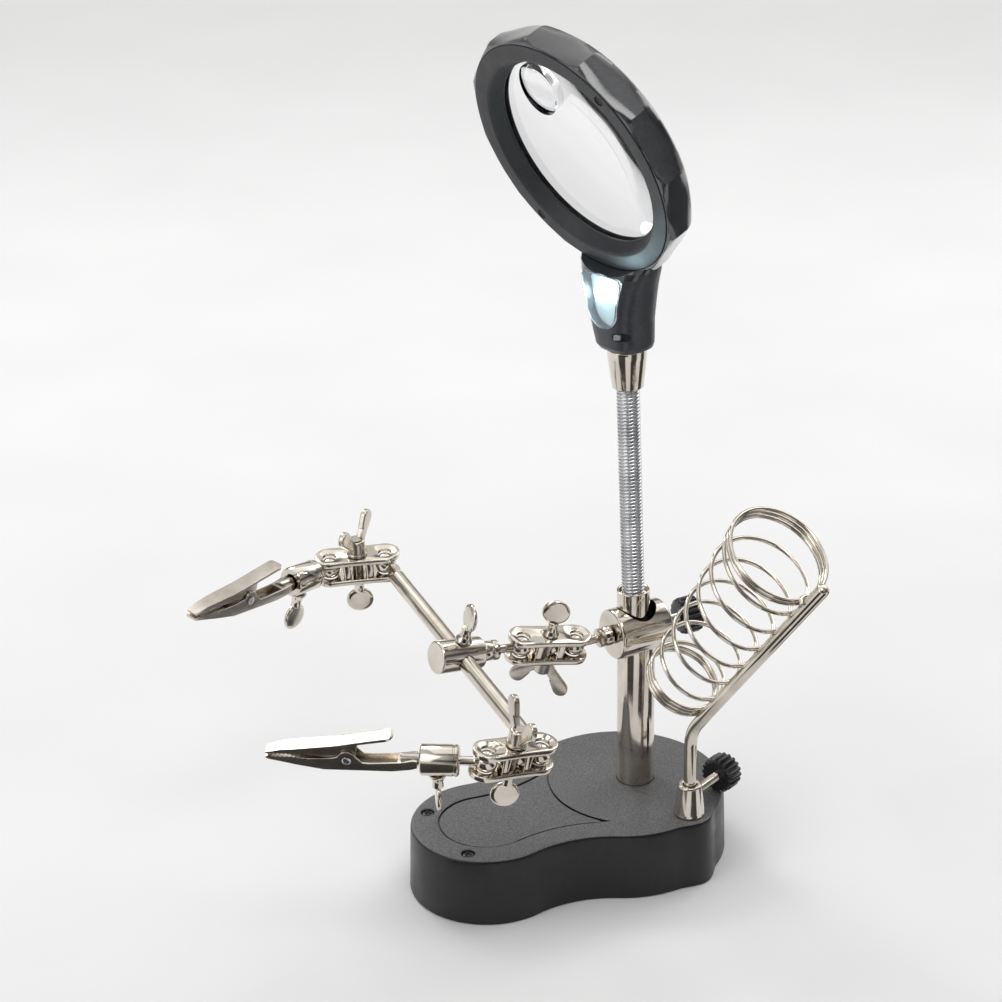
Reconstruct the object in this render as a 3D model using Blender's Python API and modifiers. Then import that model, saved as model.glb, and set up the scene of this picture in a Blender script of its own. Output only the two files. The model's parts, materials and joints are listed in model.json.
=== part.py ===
"""Helping hands magnifier: a weighted base, a column with a gooseneck magnifier, an arm with two
alligator clips on ball joints, and a coiled soldering iron rest.

Dimensions below are in millimetres, and MM turns them into Blender's metres. The origin is the middle of
the base's underside. +X runs along the base towards the column, +Y to the back and +Z up.
"""

import math

import bmesh
import bpy
from mathutils import Matrix, Vector

MM = 0.001
GAP = 0.3
SEGMENTS = 16

# Base
BASE_HEIGHT = 30.2
TRAY_LOBE = {"x": -38.9, "radius": 33.2}
COLUMN_LOBE = {"x": 26.4, "radius": 45.7}
WAIST_RADIUS = 47.9
BULGE = 3.5
BULGE_SPREAD = 17.0
BASE_DRAFT = 1.0
BASE_WALL = 2.6
TRAY_INSET = 12.5
TRAY_DEPTH = 0.6
TRAY_END_RADIUS = 37.5
TRAY_SCREW_AT = ((-57.5, 18.6), (-57.5, -18.6))
COVER_THICKNESS = 2.0
BATTERY_LENGTH = 44.5
BATTERY_RADIUS = 5.1
BATTERY_CENTRE_X = -36.2
DOOR = {"x": -36.2, "length": 48.0, "width": 25.0}

# Column, collar and gooseneck
COLUMN_X = 34.0
COLUMN_RADIUS = 8.0
COLUMN_TOP = 103.0
COLLAR_Z = 102.5
COLLAR_RADIUS = 10.8
COLLAR_LENGTH = 24.5
COLUMN_BORE = 8.3
KNOB_RADIUS = 8.0
KNOB_LENGTH = 9.0
GOOSENECK_RADIUS = 4.85
GOOSENECK_BOTTOM = 121.0
GOOSENECK_TOP = 212.0
GOOSENECK_JOINTS = 4
DOME_RADIUS = 4.5
CUP_RADIUS = 4.8
LINK_END = 1.5
HEAD_Z = 229.0
LEAN = 1.7
LEAN_OFFSET = 0.9
LEAN_HEADING = 152.0

# Head
HEAD_YAW = 10.0
LENS_TILT = 22.1
LENS_CENTRE = (-19.0, 0.0, 85.6)
LENS_RADIUS = 43.5
LENS_WINDOW = 40.6
LENS_EDGE = 3.0
LENS_BULGE = 3.2
INSET_RADIUS = 10.6
INSET_DISTANCE = 28.6
INSET_TURN = 112.0
RING_RADIUS = 53.6
RING_FRONT = 8.0
RING_BACK = -6.5
RING_FACETS = 12
RING_FACET_DEPTH = 1.1
FRONT_RING_RADIUS = 50.6
HEAD_SCREW_RADIUS = 47.6
WINDOW_RADIUS = 8.8
WINDOW_BOTTOM = 10.8
WINDOW_HALF_WIDTH = 11.8
WINDOW_TOP = 33.4
SWITCH_TURN = 40.0
SWITCH_Z = 8.6
SWITCH_SLOT = (3.8, 1.8)
SWITCH_DEPTH = 11.0
SWITCH_AT = -1.6
SLIDER_HALF = (1.4, 1.1)

# Ball joints
BALL_RADIUS = 4.5
NECK_RADIUS = 1.8
BALL_SPACING = 23.5
PLATE_RADIUS = 6.3
PLATE_INNER = 3.6
PLATE_OUTER = 6.0
BALL_HOLE = 3.0
CLAMP_SCREW_RADIUS = 2.3
PADDLE_RADIUS = 5.8
PADDLE_THICKNESS = 2.4
STUD_LENGTH = 30.3

# Arm: yaw turns the direction from -X towards -Y, and pitch lifts it
CLAMP_C_AIM = (-10.0, 8.2)
CLAMP_C_ROLL = 14.0
BARREL_AIM = (4.0, 9.2)
BARREL_HOLE_AT = 30.0
BARREL_END = 41.5
BARREL_START = 20.6
BARREL_RADIUS = 6.8
CROSSBAR_DROP = 13.7
CROSSBAR_RADIUS = 3.5
CROSSBAR_TO_A = 66.0
CROSSBAR_TO_B = 65.0
BAR_INSET = 11.0
BAR_TAPER = 3.5
CLAMP_A_AIM = (-21.6, -1.8)
CLAMP_B_AIM = (-0.5, 7.9)
CLAMP_AB_ROLL = 10.0
CLIP_A_AIM = (24.9, 7.2)
CLIP_B_AIM = (-32.1, 0.7)

# Clips, measured along the clip from the centre of its ball
SOCKET_START = 10.4
SOCKET_END = 25.4
SOCKET_RADIUS = 6.2
SOCKET_BORE = 3.2
CLIP_SCREW_AT = 19.0
TAIL_RADIUS = 2.5
PIVOT_X = 53.5
PIVOT_Z = 1.0
PIN_RADIUS = 1.2
CLIP_TIP = 85.0
LOWER_JAW_WIDTH = 6.8
UPPER_JAW_WIDTH = 4.8
LEVER_WIDTH = 7.0

# Soldering iron rest
REST_AT = (38.6, -36.7)
REST_TOP = 44.3
ROD_RADIUS = 2.7
ROD_BEND_Z = 69.5
ROD_YAW = -75.0
ROD_PITCH = 53.0
ROD_SLOPE_LENGTH = 112.0
REST_KNOB_YAW = 23.0
REST_KNOB_Z = 38.6
REST_KNOB_START = 19.4
WIRE_RADIUS = 0.9
COIL_START, COIL_END = 8.0, 99.5
COIL_BOTTOM_RADIUS, COIL_TOP_RADIUS = 15.2, 21.1
COIL_LEAN = 11.0
COIL_CLOSE_TURNS, COIL_OPEN_TURNS = 2.5, 6.0
COIL_STEPS = 12

FINISHES = {
    "black_plastic": ((0.02, 0.021, 0.023), 0.42, 0.0),
    "textured_black": ((0.055, 0.057, 0.062), 0.6, 0.0),
    "nickel": ((0.72, 0.69, 0.64), 0.16, 1.0),
    "steel": ((0.58, 0.58, 0.59), 0.3, 1.0),
    "cast_iron": ((0.09, 0.09, 0.09), 0.7, 0.6),
    "glass": ((0.93, 0.95, 0.96), 0.02, 0.0),
    "clear_plastic": ((0.85, 0.88, 0.9), 0.08, 0.0),
    "led_white": ((0.9, 0.96, 1.0), 0.3, 0.0),
    "battery": ((0.2, 0.33, 0.22), 0.4, 0.2),
}


def clear_scene():
    for obj in list(bpy.data.objects):
        bpy.data.objects.remove(obj, do_unlink=True)


def new_collection(name):
    made = bpy.data.collections.new(name)
    bpy.context.scene.collection.children.link(made)
    return made


def finish(name):
    found = bpy.data.materials.get(name)
    if found:
        return found
    colour, roughness, metallic = FINISHES[name]
    made = bpy.data.materials.new(name)
    made.use_nodes = True
    shader = made.node_tree.nodes["Principled BSDF"]
    shader.inputs["Base Color"].default_value = (*colour, 1.0)
    shader.inputs["Roughness"].default_value = roughness
    shader.inputs["Metallic"].default_value = metallic
    return made


# Frames and pivots


def heading(yaw, pitch):
    yaw, pitch = math.radians(yaw), math.radians(pitch)
    return Vector((-math.cos(yaw) * math.cos(pitch), -math.sin(yaw) * math.cos(pitch), math.sin(pitch)))


def frame(origin, x_axis, z_hint):
    """A right-handed frame at origin with +X along x_axis and +Z as near z_hint as it can be."""
    x_axis = Vector(x_axis).normalized()
    z_axis = Vector(z_hint)
    z_axis = (z_axis - z_axis.dot(x_axis) * x_axis).normalized()
    y_axis = z_axis.cross(x_axis)
    turn = Matrix((x_axis, y_axis, z_axis)).transposed().to_4x4()
    return Matrix.Translation(Vector(origin)) @ turn


def rolled(towards_front):
    """The up direction tipped towards -Y by this many degrees."""
    angle = math.radians(towards_front)
    return Vector((0.0, -math.sin(angle), math.cos(angle)))


def turned(angle, axis="Z"):
    return Matrix.Rotation(math.radians(angle), 4, axis)


def shifted(x=0.0, y=0.0, z=0.0):
    return Matrix.Translation(Vector((x, y, z)))


def pivot(name, place, parent=None):
    """An empty on a joint's axis, which carries the pieces of one moving body."""
    made = bpy.data.objects.new(name, None)
    made.empty_display_size = 5 * MM
    PARTS.objects.link(made)
    world = place.copy()
    world.translation *= MM
    made["frame"] = [value for row in world for value in row]
    if parent:
        made.parent = parent
        world = frame_of(parent).inverted() @ world
    made.matrix_local = world
    return made


def frame_of(empty):
    values = list(empty["frame"])
    return Matrix([values[row * 4 : row * 4 + 4] for row in range(4)])


# Shapes


def solid(name, mesh, material, parent=None, place=None):
    """An object in the parts collection from a bmesh drawn in millimetres."""
    mesh.transform(Matrix.Scale(MM, 4))
    data = bpy.data.meshes.new(name)
    bmesh.ops.recalc_face_normals(mesh, faces=mesh.faces)
    mesh.to_mesh(data)
    mesh.free()
    return add_object(name, data, material, parent, place)


def add_object(name, data, material, parent=None, place=None):
    made = bpy.data.objects.new(name, data)
    data.materials.append(finish(material))
    PARTS.objects.link(made)
    made.parent = parent
    if place:
        local = place.copy()
        local.translation *= MM
        made.matrix_local = local
    if isinstance(data, bpy.types.Mesh):
        data.shade_smooth()
        data.set_sharp_from_angle(angle=math.radians(35))
    return made


def cylinder(start, end, radius, end_radius=None, segments=SEGMENTS):
    """A bmesh cylinder or cone along +Z from start to end."""
    made = bmesh.new()
    bmesh.ops.create_cone(
        made,
        cap_ends=True,
        segments=segments,
        radius1=radius,
        radius2=radius if end_radius is None else end_radius,
        depth=end - start,
        matrix=Matrix.Translation((0, 0, (start + end) / 2)),
    )
    return made


def box(low, high):
    made = bmesh.new()
    low, high = Vector(low), Vector(high)
    size = Matrix.Diagonal((*(high - low), 1.0))
    bmesh.ops.create_cube(made, size=1.0, matrix=Matrix.Translation((low + high) / 2) @ size)
    return made


def ball(radius, rings=8):
    made = bmesh.new()
    bmesh.ops.create_uvsphere(made, u_segments=SEGMENTS, v_segments=rings, radius=radius)
    return made


def prism(outline, start, end):
    """The outline, a list of (x, y) points, drawn up from z = start to z = end."""
    made = bmesh.new()
    face = made.faces.new([made.verts.new((x, y, start)) for x, y in outline])
    raised = bmesh.ops.extrude_face_region(made, geom=[face])
    up = [item for item in raised["geom"] if isinstance(item, bmesh.types.BMVert)]
    bmesh.ops.translate(made, verts=up, vec=(0, 0, end - start))
    return made


def loft(rings):
    """A closed solid through rings of points that all have the same count."""
    made = bmesh.new()
    loops = [[made.verts.new(point) for point in ring] for ring in rings]
    for lower, upper in zip(loops, loops[1:]):
        for i in range(len(lower)):
            j = (i + 1) % len(lower)
            made.faces.new((lower[i], lower[j], upper[j], upper[i]))
    made.faces.new(reversed(loops[0]))
    made.faces.new(loops[-1])
    return made


def lathe(name, profile, material, parent=None, place=None, steps=SEGMENTS, closed=False):
    """A turned solid. The profile's (radius, height) points run down its outer side."""
    data = bpy.data.meshes.new(name)
    points = [(radius * MM, 0.0, height * MM) for radius, height in profile]
    edges = [(i, i + 1) for i in range(len(points) - 1)]
    if closed:
        edges.append((len(points) - 1, 0))
    data.from_pydata(points, edges, [])
    made = add_object(name, data, material, parent, place)
    screw = made.modifiers.new("turn", "SCREW")
    screw.axis = "Z"
    screw.steps = screw.render_steps = steps
    screw.use_merge_vertices = True
    screw.merge_threshold = 0.00001
    screw.use_smooth_shade = True
    return made


def wire(name, points, radius, material, parent=None, place=None):
    """A round wire through the points."""
    data = bpy.data.curves.new(name, "CURVE")
    data.dimensions = "3D"
    data.bevel_depth = radius * MM
    data.bevel_resolution = 2
    data.use_fill_caps = True
    spline = data.splines.new("POLY")
    spline.points.add(len(points) - 1)
    for spot, point in zip(spline.points, points):
        spot.co = (*(Vector(point) * MM), 1.0)
    return add_object(name, data, material, parent, place)


def combine(target, tool, operation):
    """Adds or cuts the tool, which moves to the cutters' collection and follows the target."""
    modifier = target.modifiers.new(f"{operation.lower()} {tool.name}", "BOOLEAN")
    modifier.operation = operation
    modifier.object = tool
    PARTS.objects.unlink(tool)
    CUTTERS.objects.link(tool)
    tool.hide_render = True
    tool.display_type = "WIRE"
    return target


def cut(target, mesh, place=None):
    tool = solid(f"{target.name}_cutter", mesh, "steel", target.parent, place)
    return combine(target, tool, "DIFFERENCE")


def fuse(target, mesh, place=None):
    tool = solid(f"{target.name}_shape", mesh, "steel", target.parent, place)
    return combine(target, tool, "UNION")


def arc(centre, radius, start, end, count):
    """Points along an arc, angles in degrees."""
    angles = [math.radians(start + (end - start) * i / (count - 1)) for i in range(count)]
    return [(centre[0] + radius * math.cos(a), centre[1] + radius * math.sin(a)) for a in angles]


# Base


def waist_centre():
    """Where the concave arcs that join the two lobes are centred, for y above 0."""
    span = COLUMN_LOBE["x"] - TRAY_LOBE["x"]
    to_tray = TRAY_LOBE["radius"] + WAIST_RADIUS
    to_column = COLUMN_LOBE["radius"] + WAIST_RADIUS
    along = (to_tray**2 - to_column**2 + span**2) / (2 * span)
    return TRAY_LOBE["x"] + along, math.sqrt(to_tray**2 - along**2)


def column_lobe(limit, inset):
    """(angle, reach) round the column lobe, which swells where it carries the iron rest's socket."""
    middle = math.atan2(REST_AT[1], REST_AT[0] - COLUMN_LOBE["x"])
    half = math.radians(BULGE_SPREAD)
    spans = ((-limit, middle - half, 5), (middle - half, middle + half, 10), (middle + half, limit, 16))
    points = []
    for start, end, count in spans:
        for i in range(count):
            angle = start + (end - start) * i / count
            off = min(abs(angle - middle) / half, 1)
            points.append((angle, COLUMN_LOBE["radius"] - inset + BULGE * math.cos(math.pi / 2 * off) ** 2))
    return [*points, (limit, COLUMN_LOBE["radius"] - inset)]


def base_outline(inset):
    """The base's outline moved inwards, from the column lobe's lower tangent point and round."""
    waist_x, waist_y = waist_centre()
    column_angle = math.degrees(math.atan2(waist_y, waist_x - COLUMN_LOBE["x"]))
    tray_angle = math.degrees(math.atan2(waist_y, waist_x - TRAY_LOBE["x"]))
    column = [
        (COLUMN_LOBE["x"] + reach * math.cos(angle), reach * math.sin(angle))
        for angle, reach in column_lobe(math.radians(column_angle), inset)
    ]
    upper = arc((waist_x, waist_y), WAIST_RADIUS + inset, column_angle - 180, tray_angle - 180, 8)
    tray = arc((TRAY_LOBE["x"], 0), TRAY_LOBE["radius"] - inset, tray_angle, 360 - tray_angle, 19)
    lower = arc((waist_x, -waist_y), WAIST_RADIUS + inset, 180 - tray_angle, 180 - column_angle, 8)
    return column + upper[1:-1] + tray + lower[1:-1]


def tray_outline():
    """The tray lobe's outline moved inwards, closed by an arc round the column."""
    inner = [
        point
        for point in base_outline(TRAY_INSET)
        if point[0] < COLUMN_X and math.dist(point, (COLUMN_X, 0)) > TRAY_END_RADIUS + 1
    ]
    last, first = inner[-1], inner[0]
    start = math.degrees(math.atan2(last[1], last[0] - COLUMN_X)) % 360
    end = math.degrees(math.atan2(first[1], first[0] - COLUMN_X)) % 360
    return inner + arc((COLUMN_X, 0), TRAY_END_RADIUS, start, end, 9)


def layer(inset, z):
    return [(x, y, z) for x, y in base_outline(inset)]


def make_base():
    shell = solid(
        "base_shell",
        loft([layer(0, 0.6), layer(BASE_DRAFT, 28.8), layer(BASE_DRAFT + 0.35, 29.8), layer(BASE_DRAFT + 1.2, BASE_HEIGHT)]),
        "textured_black",
    )
    inner_top = BASE_HEIGHT - BASE_WALL
    cut(shell, loft([layer(BASE_WALL, -1), layer(BASE_WALL + BASE_DRAFT, inner_top)]))
    cut(shell, cylinder(20, 40, COLUMN_BORE, segments=32), shifted(COLUMN_X))
    cut(shell, prism(tray_outline(), BASE_HEIGHT - TRAY_DEPTH, BASE_HEIGHT + 1))
    for index, (x, y) in enumerate(TRAY_SCREW_AT, 1):
        cut(shell, cylinder(BASE_HEIGHT - 1.4, BASE_HEIGHT + 1, 2.9, segments=16), shifted(x, y))
        screw = solid(f"tray_screw_{index}", cylinder(0, 0.9, 2.5, segments=16), "steel", place=shifted(x, y, 29.1))
        cut(screw, box((-1.9, -0.35, 0.5), (1.9, 0.35, 2)))

    cover = solid("bottom_cover", prism(base_outline(BASE_WALL + GAP), 0, COVER_THICKNESS), "black_plastic")
    half_length, half_width = DOOR["length"] / 2, DOOR["width"] / 2
    door_low = (-half_length, -half_width)
    door_high = (half_length, half_width)
    opening = box((door_low[0] - GAP, door_low[1] - GAP, -1), (door_high[0] + GAP, door_high[1] + GAP, 5))
    cut(cover, opening, shifted(DOOR["x"]))
    solid("battery_door", box((*door_low, 0), (*door_high, COVER_THICKNESS)), "black_plastic", place=shifted(DOOR["x"]))

    weight = solid("base_weight", cylinder(4, 25, 36.5, segments=40), "cast_iron", place=shifted(COLUMN_LOBE["x"]))
    cut(weight, cylinder(0, 30, COLUMN_BORE + 1), shifted(COLUMN_X))

    half = BATTERY_LENGTH / 2
    profile = [(0, half), (2.0, half), (2.0, half - 1), (BATTERY_RADIUS, half - 1), (BATTERY_RADIUS, -half), (0, -half)]
    for index, side in enumerate((1, -1), 1):
        place = shifted(BATTERY_CENTRE_X, side * 5.8, 8.5) @ turned(90 * side, "Y")
        lathe(f"battery_{index}", profile, "battery", place=place, steps=16)


def make_column():
    outer, inner = COLUMN_RADIUS, COLUMN_RADIUS - 1.2
    profile = [(outer, COLUMN_TOP), (outer, 4), (inner, 4), (inner, COLUMN_TOP)]
    lathe("column_tube", profile, "nickel", place=shifted(COLUMN_X), steps=32, closed=True)


# Fasteners and ball joints


def fluted_knob(name, start, material, parent, place=None):
    """A knob along +Z whose rim is scalloped all round."""
    flutes, per_flute = 16, 3
    count = flutes * per_flute

    def ring(radius, depth, z):
        points = []
        for i in range(count):
            angle = 2 * math.pi * i / count
            reach = radius - (depth if i % per_flute == 0 else 0)
            points.append((reach * math.cos(angle), reach * math.sin(angle), z))
        return points

    end = start + KNOB_LENGTH
    rings = [
        ring(KNOB_RADIUS - 0.8, 0.6, start),
        ring(KNOB_RADIUS, 0.8, start + 0.8),
        ring(KNOB_RADIUS, 0.8, end - 0.8),
        ring(KNOB_RADIUS - 0.8, 0.6, end),
    ]
    return solid(name, loft(rings), material, parent, place)


def knob_screw(name, parent, start, knob_start, place):
    knob = fluted_knob(name, knob_start, "black_plastic", parent, place)
    return fuse(knob, cylinder(start, knob_start + 1, 1.9, segments=14), place)


def paddle(target, start, place):
    """A thumbscrew's flared foot and flat round head, standing on z = start."""
    fuse(target, cylinder(start, start + 6, 3.6, 1.9), place)
    centre = start + 5.5 + PADDLE_RADIUS
    disc = cylinder(-PADDLE_THICKNESS / 2, PADDLE_THICKNESS / 2, PADDLE_RADIUS)
    return fuse(target, disc, place @ shifted(0, 0, centre) @ turned(90, "X"))


def thumbscrew(name, parent, start, foot, place, radius=CLAMP_SCREW_RADIUS):
    screw = solid(name, cylinder(start, foot + 0.5, radius, segments=14), "nickel", parent, place)
    return paddle(screw, foot, place)


def wing_nut(name, parent, place):
    """A wing nut standing on z = 0 with a wing to each side of its hole."""
    nut = solid(name, cylinder(0, 7, 4.4, 3.7), "nickel", parent, place)
    for side in (1, -1):
        wing = prism(arc((0, 16), 3.0, 0, 180, 7) + [(-2.0, 2.5), (2.0, 2.5)], -1.3, 1.3)
        lean = turned(38 * side, "Y")
        fuse(nut, wing, place @ shifted(0, 0, 0.5) @ lean @ turned(90, "X"))
    return cut(nut, cylinder(-1, 30, CLAMP_SCREW_RADIUS + GAP), place)


def plate_outline():
    half = BALL_SPACING / 2
    return arc((half, 0), PLATE_RADIUS, -90, 90, 11) + arc((-half, 0), PLATE_RADIUS, 90, 270, 11)


def drill_plate(plate):
    cut(plate, cylinder(-20, 20, CLAMP_SCREW_RADIUS + GAP, segments=16))
    for side in (1, -1):
        cut(plate, cylinder(-20, 20, BALL_HOLE), shifted(side * BALL_SPACING / 2))
    return plate


def ball_clamp(letter, origin, aim, roll, nut_side, nut_turn, paddle_turn, parent):
    """Two plates on one screw that pinch a ball at each end. The origin is the first ball's centre."""
    along = heading(*aim)
    place = frame(origin, along, rolled(roll))
    body = pivot(f"clamp_{letter}_pivot", place, parent)
    middle = place @ shifted(BALL_SPACING / 2)
    centre = pivot(f"clamp_{letter}_centre", middle, body)
    upper = solid(f"clamp_{letter}_upper_plate", prism(plate_outline(), PLATE_INNER, PLATE_OUTER), "nickel", centre)
    drill_plate(upper)
    lower = solid(f"clamp_{letter}_lower_plate", prism(plate_outline(), -PLATE_OUTER, -PLATE_INNER), "nickel", centre)
    for side in (1, -1):
        low, high = sorted((side * 3.0, side * 6.5))
        fuse(lower, box((low, -4.8, -PLATE_INNER - 1), (high, 4.8, PLATE_INNER - GAP)))
    drill_plate(lower)

    nut_up = turned(0) if nut_side > 0 else turned(180, "X")
    paddle_up = turned(180, "X") if nut_side > 0 else turned(0)
    seat = PLATE_OUTER + GAP
    thumbscrew(f"clamp_{letter}_screw", centre, -13.5, seat, paddle_up @ turned(paddle_turn))
    nut_pivot = pivot(f"clamp_{letter}_nut_pivot", middle, centre)
    wing_nut(f"clamp_{letter}_wing_nut", nut_pivot, nut_up @ turned(nut_turn) @ shifted(0, 0, seat))
    return centre, middle @ Vector((BALL_SPACING / 2, 0, 0))


def stud(target, neck_start, neck_end):
    """A neck along +X from inside a ball at the origin."""
    place = turned(90, "Y")
    return fuse(target, cylinder(neck_start, neck_end, NECK_RADIUS, segments=14), place)


# Arm


def make_collar():
    place = frame((COLUMN_X, 0, COLLAR_Z), (1, 0, 0), (0, 0, 1))
    body = pivot("collar_pivot", place)
    along = turned(90, "Y")
    half = COLLAR_LENGTH / 2
    rim = [(0, half), (COLLAR_RADIUS - 1.2, half), (COLLAR_RADIUS, half - 1.2)]
    collar = lathe("collar", rim + [(r, -z) for r, z in reversed(rim)], "nickel", body, along, steps=32)
    cut(collar, cylinder(-20, 20, COLUMN_BORE, segments=32))
    cut(collar, cylinder(5, 20, 2.2, segments=16), along)
    cut(collar, cylinder(-20, -5, 2.9, segments=16), along)
    knob_pivot = pivot("collar_knob_pivot", place, body)
    knob_screw("collar_knob", knob_pivot, COLUMN_RADIUS + GAP, 21.0, along)

    ball_place = frame((COLUMN_X - STUD_LENGTH, 0, COLLAR_Z), (1, 0, 0), (0, 0, 1))
    ball_pivot = pivot("collar_ball_pivot", ball_place, body)
    made = solid("collar_ball_stud", ball(BALL_RADIUS), "nickel", ball_pivot)
    stud(made, 3, 12)
    fuse(made, cylinder(11, 17.6, 4.1), along)
    fuse(made, cylinder(17, 21.0, 2.6, segments=14), along)
    return ball_pivot, ball_place.translation


def make_barrel(ball_centre, parent):
    """The ball stud, the cross-drilled barrel that turns on it and the barrel's thumbscrew."""
    along = heading(*BARREL_AIM)
    level = frame(ball_centre, along, (0, 0, 1))
    place = level @ turned(-CROSSBAR_DROP, "X")
    lengthways = turned(90, "Y")
    stud_pivot = pivot("barrel_stud_pivot", place, parent)
    made = solid("barrel_ball_stud", ball(BALL_RADIUS), "nickel", stud_pivot)
    stud(made, 3, 13)
    fuse(made, cylinder(12, BARREL_START - GAP, 4.2), lengthways)

    barrel_pivot = pivot("barrel_pivot", place, stud_pivot)
    profile = [
        (0, BARREL_END),
        (BARREL_RADIUS - 1, BARREL_END),
        (BARREL_RADIUS, BARREL_END - 1),
        (BARREL_RADIUS, BARREL_START + 0.8),
        (BARREL_RADIUS - 0.8, BARREL_START),
        (0, BARREL_START),
    ]
    barrel = lathe("barrel", profile, "nickel", barrel_pivot, lengthways, steps=24)
    hole = shifted(BARREL_HOLE_AT) @ turned(90, "X")
    cut(barrel, cylinder(-20, 20, CROSSBAR_RADIUS + GAP, segments=24), hole)
    cut(barrel, cylinder(0, 20, CLAMP_SCREW_RADIUS + GAP, segments=16), shifted(BARREL_HOLE_AT))
    screw_pivot = pivot("barrel_screw_pivot", place @ shifted(BARREL_HOLE_AT), barrel_pivot)
    foot = BARREL_RADIUS + GAP
    thumbscrew("barrel_thumbscrew", screw_pivot, CROSSBAR_RADIUS + GAP, foot, turned(80))
    return barrel_pivot, place @ shifted(BARREL_HOLE_AT)


def make_crossbar(place, parent):
    """The bar through the barrel, with a ball that turns on each end."""
    bar_pivot = pivot("crossbar_pivot", place, parent)
    across = turned(-90, "X")
    start, end = -CROSSBAR_TO_A + BAR_INSET, CROSSBAR_TO_B - BAR_INSET
    bar = solid("crossbar", cylinder(start, end, CROSSBAR_RADIUS), "nickel", bar_pivot, across)
    balls = []
    for letter, reach, side in (("a", CROSSBAR_TO_A, -1), ("b", CROSSBAR_TO_B, 1)):
        ball_local = shifted(0, side * reach)
        inward = turned(90 * side, "X")
        taper = cylinder(BAR_INSET - BAR_TAPER, BAR_INSET + 0.5, NECK_RADIUS, CROSSBAR_RADIUS)
        fuse(bar, taper, ball_local @ inward)
        ball_pivot = pivot(f"crossbar_ball_{letter}_pivot", place @ ball_local, bar_pivot)
        made = solid(f"crossbar_ball_{letter}", ball(BALL_RADIUS), "nickel", ball_pivot)
        fuse(made, cylinder(3, BAR_INSET - BAR_TAPER - GAP, NECK_RADIUS, segments=14), inward)
        balls.append((ball_pivot, (place @ ball_local).translation))
    return balls


# Clips


def jaw_prism(outline, width):
    """A side view in X and Z drawn out to a width in Y."""
    made = prism(outline, -width / 2, width / 2)
    made.transform(turned(90, "X"))
    return made


def lower_jaw(letter, parent):
    ear = arc((PIVOT_X, PIVOT_Z), 3.8, 160, 20, 7)
    outline = [(CLIP_TIP, 0.2), (CLIP_TIP, 1.7), (PIVOT_X + 7, 1.7), *reversed(ear)]
    outline += [(PIVOT_X - 6, -0.6), (30, -0.6), (30, -2.4), (35, -3.8), (PIVOT_X + 9, -3.8)]
    jaw = solid(f"clip_{letter}_lower_jaw", jaw_prism(outline, LOWER_JAW_WIDTH), "nickel", parent)
    cut(jaw, box((34, -2.7, -2.8), (CLIP_TIP - 8, 2.7, 10)))
    cut(jaw, cylinder(-10, 10, PIN_RADIUS + GAP, segments=16), shifted(PIVOT_X, 0, PIVOT_Z) @ turned(90, "X"))
    fuse(jaw, cylinder(CLIP_SCREW_AT - 4, 33, TAIL_RADIUS, segments=16), turned(90, "Y"))
    return jaw


def upper_jaw(letter, parent):
    """The jaw with its long lever, in the pivot's own frame."""
    tip = CLIP_TIP - PIVOT_X
    rear = -18.0
    lever = [(tip - 0.5, 1.0), (tip, 1.4), (tip, 2.3), (rear + 1, 11.2), (rear, 10.4), (rear, 9.2)]
    jaw = solid(f"clip_{letter}_upper_jaw", jaw_prism(lever, LEVER_WIDTH), "nickel", parent)
    ear = [(tip - 2, 1.15), (7, 1.0), *arc((0, 0), 3.3, 0, -180, 9), (-4.2, 8.0), (8, 6.0), (tip - 2, 2.1)]
    fuse(jaw, jaw_prism(ear, UPPER_JAW_WIDTH))
    cut(jaw, box((-5, -1.6, -5), (5, 1.6, 4.6)))
    cut(jaw, cylinder(-10, 10, PIN_RADIUS + GAP, segments=16), turned(90, "X"))
    return jaw


def make_clip(letter, clamp_centre, ball_centre, aim, roll, screw_turn):
    """A socket on a ball stud, the clip whose tail it holds, and the clip's pin and spring."""
    place = frame(ball_centre, heading(*aim), rolled(roll))
    lengthways = turned(90, "Y")
    socket_pivot = pivot(f"clip_{letter}_socket_pivot", place, clamp_centre)
    socket = solid(f"clip_{letter}_socket", ball(BALL_RADIUS), "nickel", socket_pivot)
    stud(socket, 3, SOCKET_START + 1)
    fuse(socket, cylinder(SOCKET_START, SOCKET_END, SOCKET_RADIUS, segments=24), lengthways)
    cut(socket, cylinder(SOCKET_START + 3, SOCKET_END + 5, SOCKET_BORE), lengthways)
    cut(socket, cylinder(-12, 0, 2.1, segments=16), shifted(CLIP_SCREW_AT))
    screw_pivot = pivot(f"clip_{letter}_screw_pivot", place @ shifted(CLIP_SCREW_AT), socket_pivot)
    down = turned(180, "X") @ turned(screw_turn)
    foot = SOCKET_RADIUS + GAP
    thumbscrew(f"clip_{letter}_thumbscrew", screw_pivot, TAIL_RADIUS + GAP, foot, down, radius=1.8)

    clip_pivot = pivot(f"clip_{letter}_pivot", place, socket_pivot)
    lower_jaw(letter, clip_pivot)
    pin_place = shifted(PIVOT_X, 0, PIVOT_Z) @ turned(90, "X")
    reach = LOWER_JAW_WIDTH / 2 + 0.8
    solid(f"clip_{letter}_pin", cylinder(-reach, reach, PIN_RADIUS, segments=14), "steel", clip_pivot, pin_place)
    coil = [(2.6, 1.3), (2.6, -1.3), (PIN_RADIUS + GAP, -1.3), (PIN_RADIUS + GAP, 1.3)]
    lathe(f"clip_{letter}_spring", coil, "steel", clip_pivot, pin_place, steps=16, closed=True)
    jaw_pivot = pivot(f"clip_{letter}_jaw_pivot", place @ shifted(PIVOT_X, 0, PIVOT_Z), clip_pivot)
    upper_jaw(letter, jaw_pivot)


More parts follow.
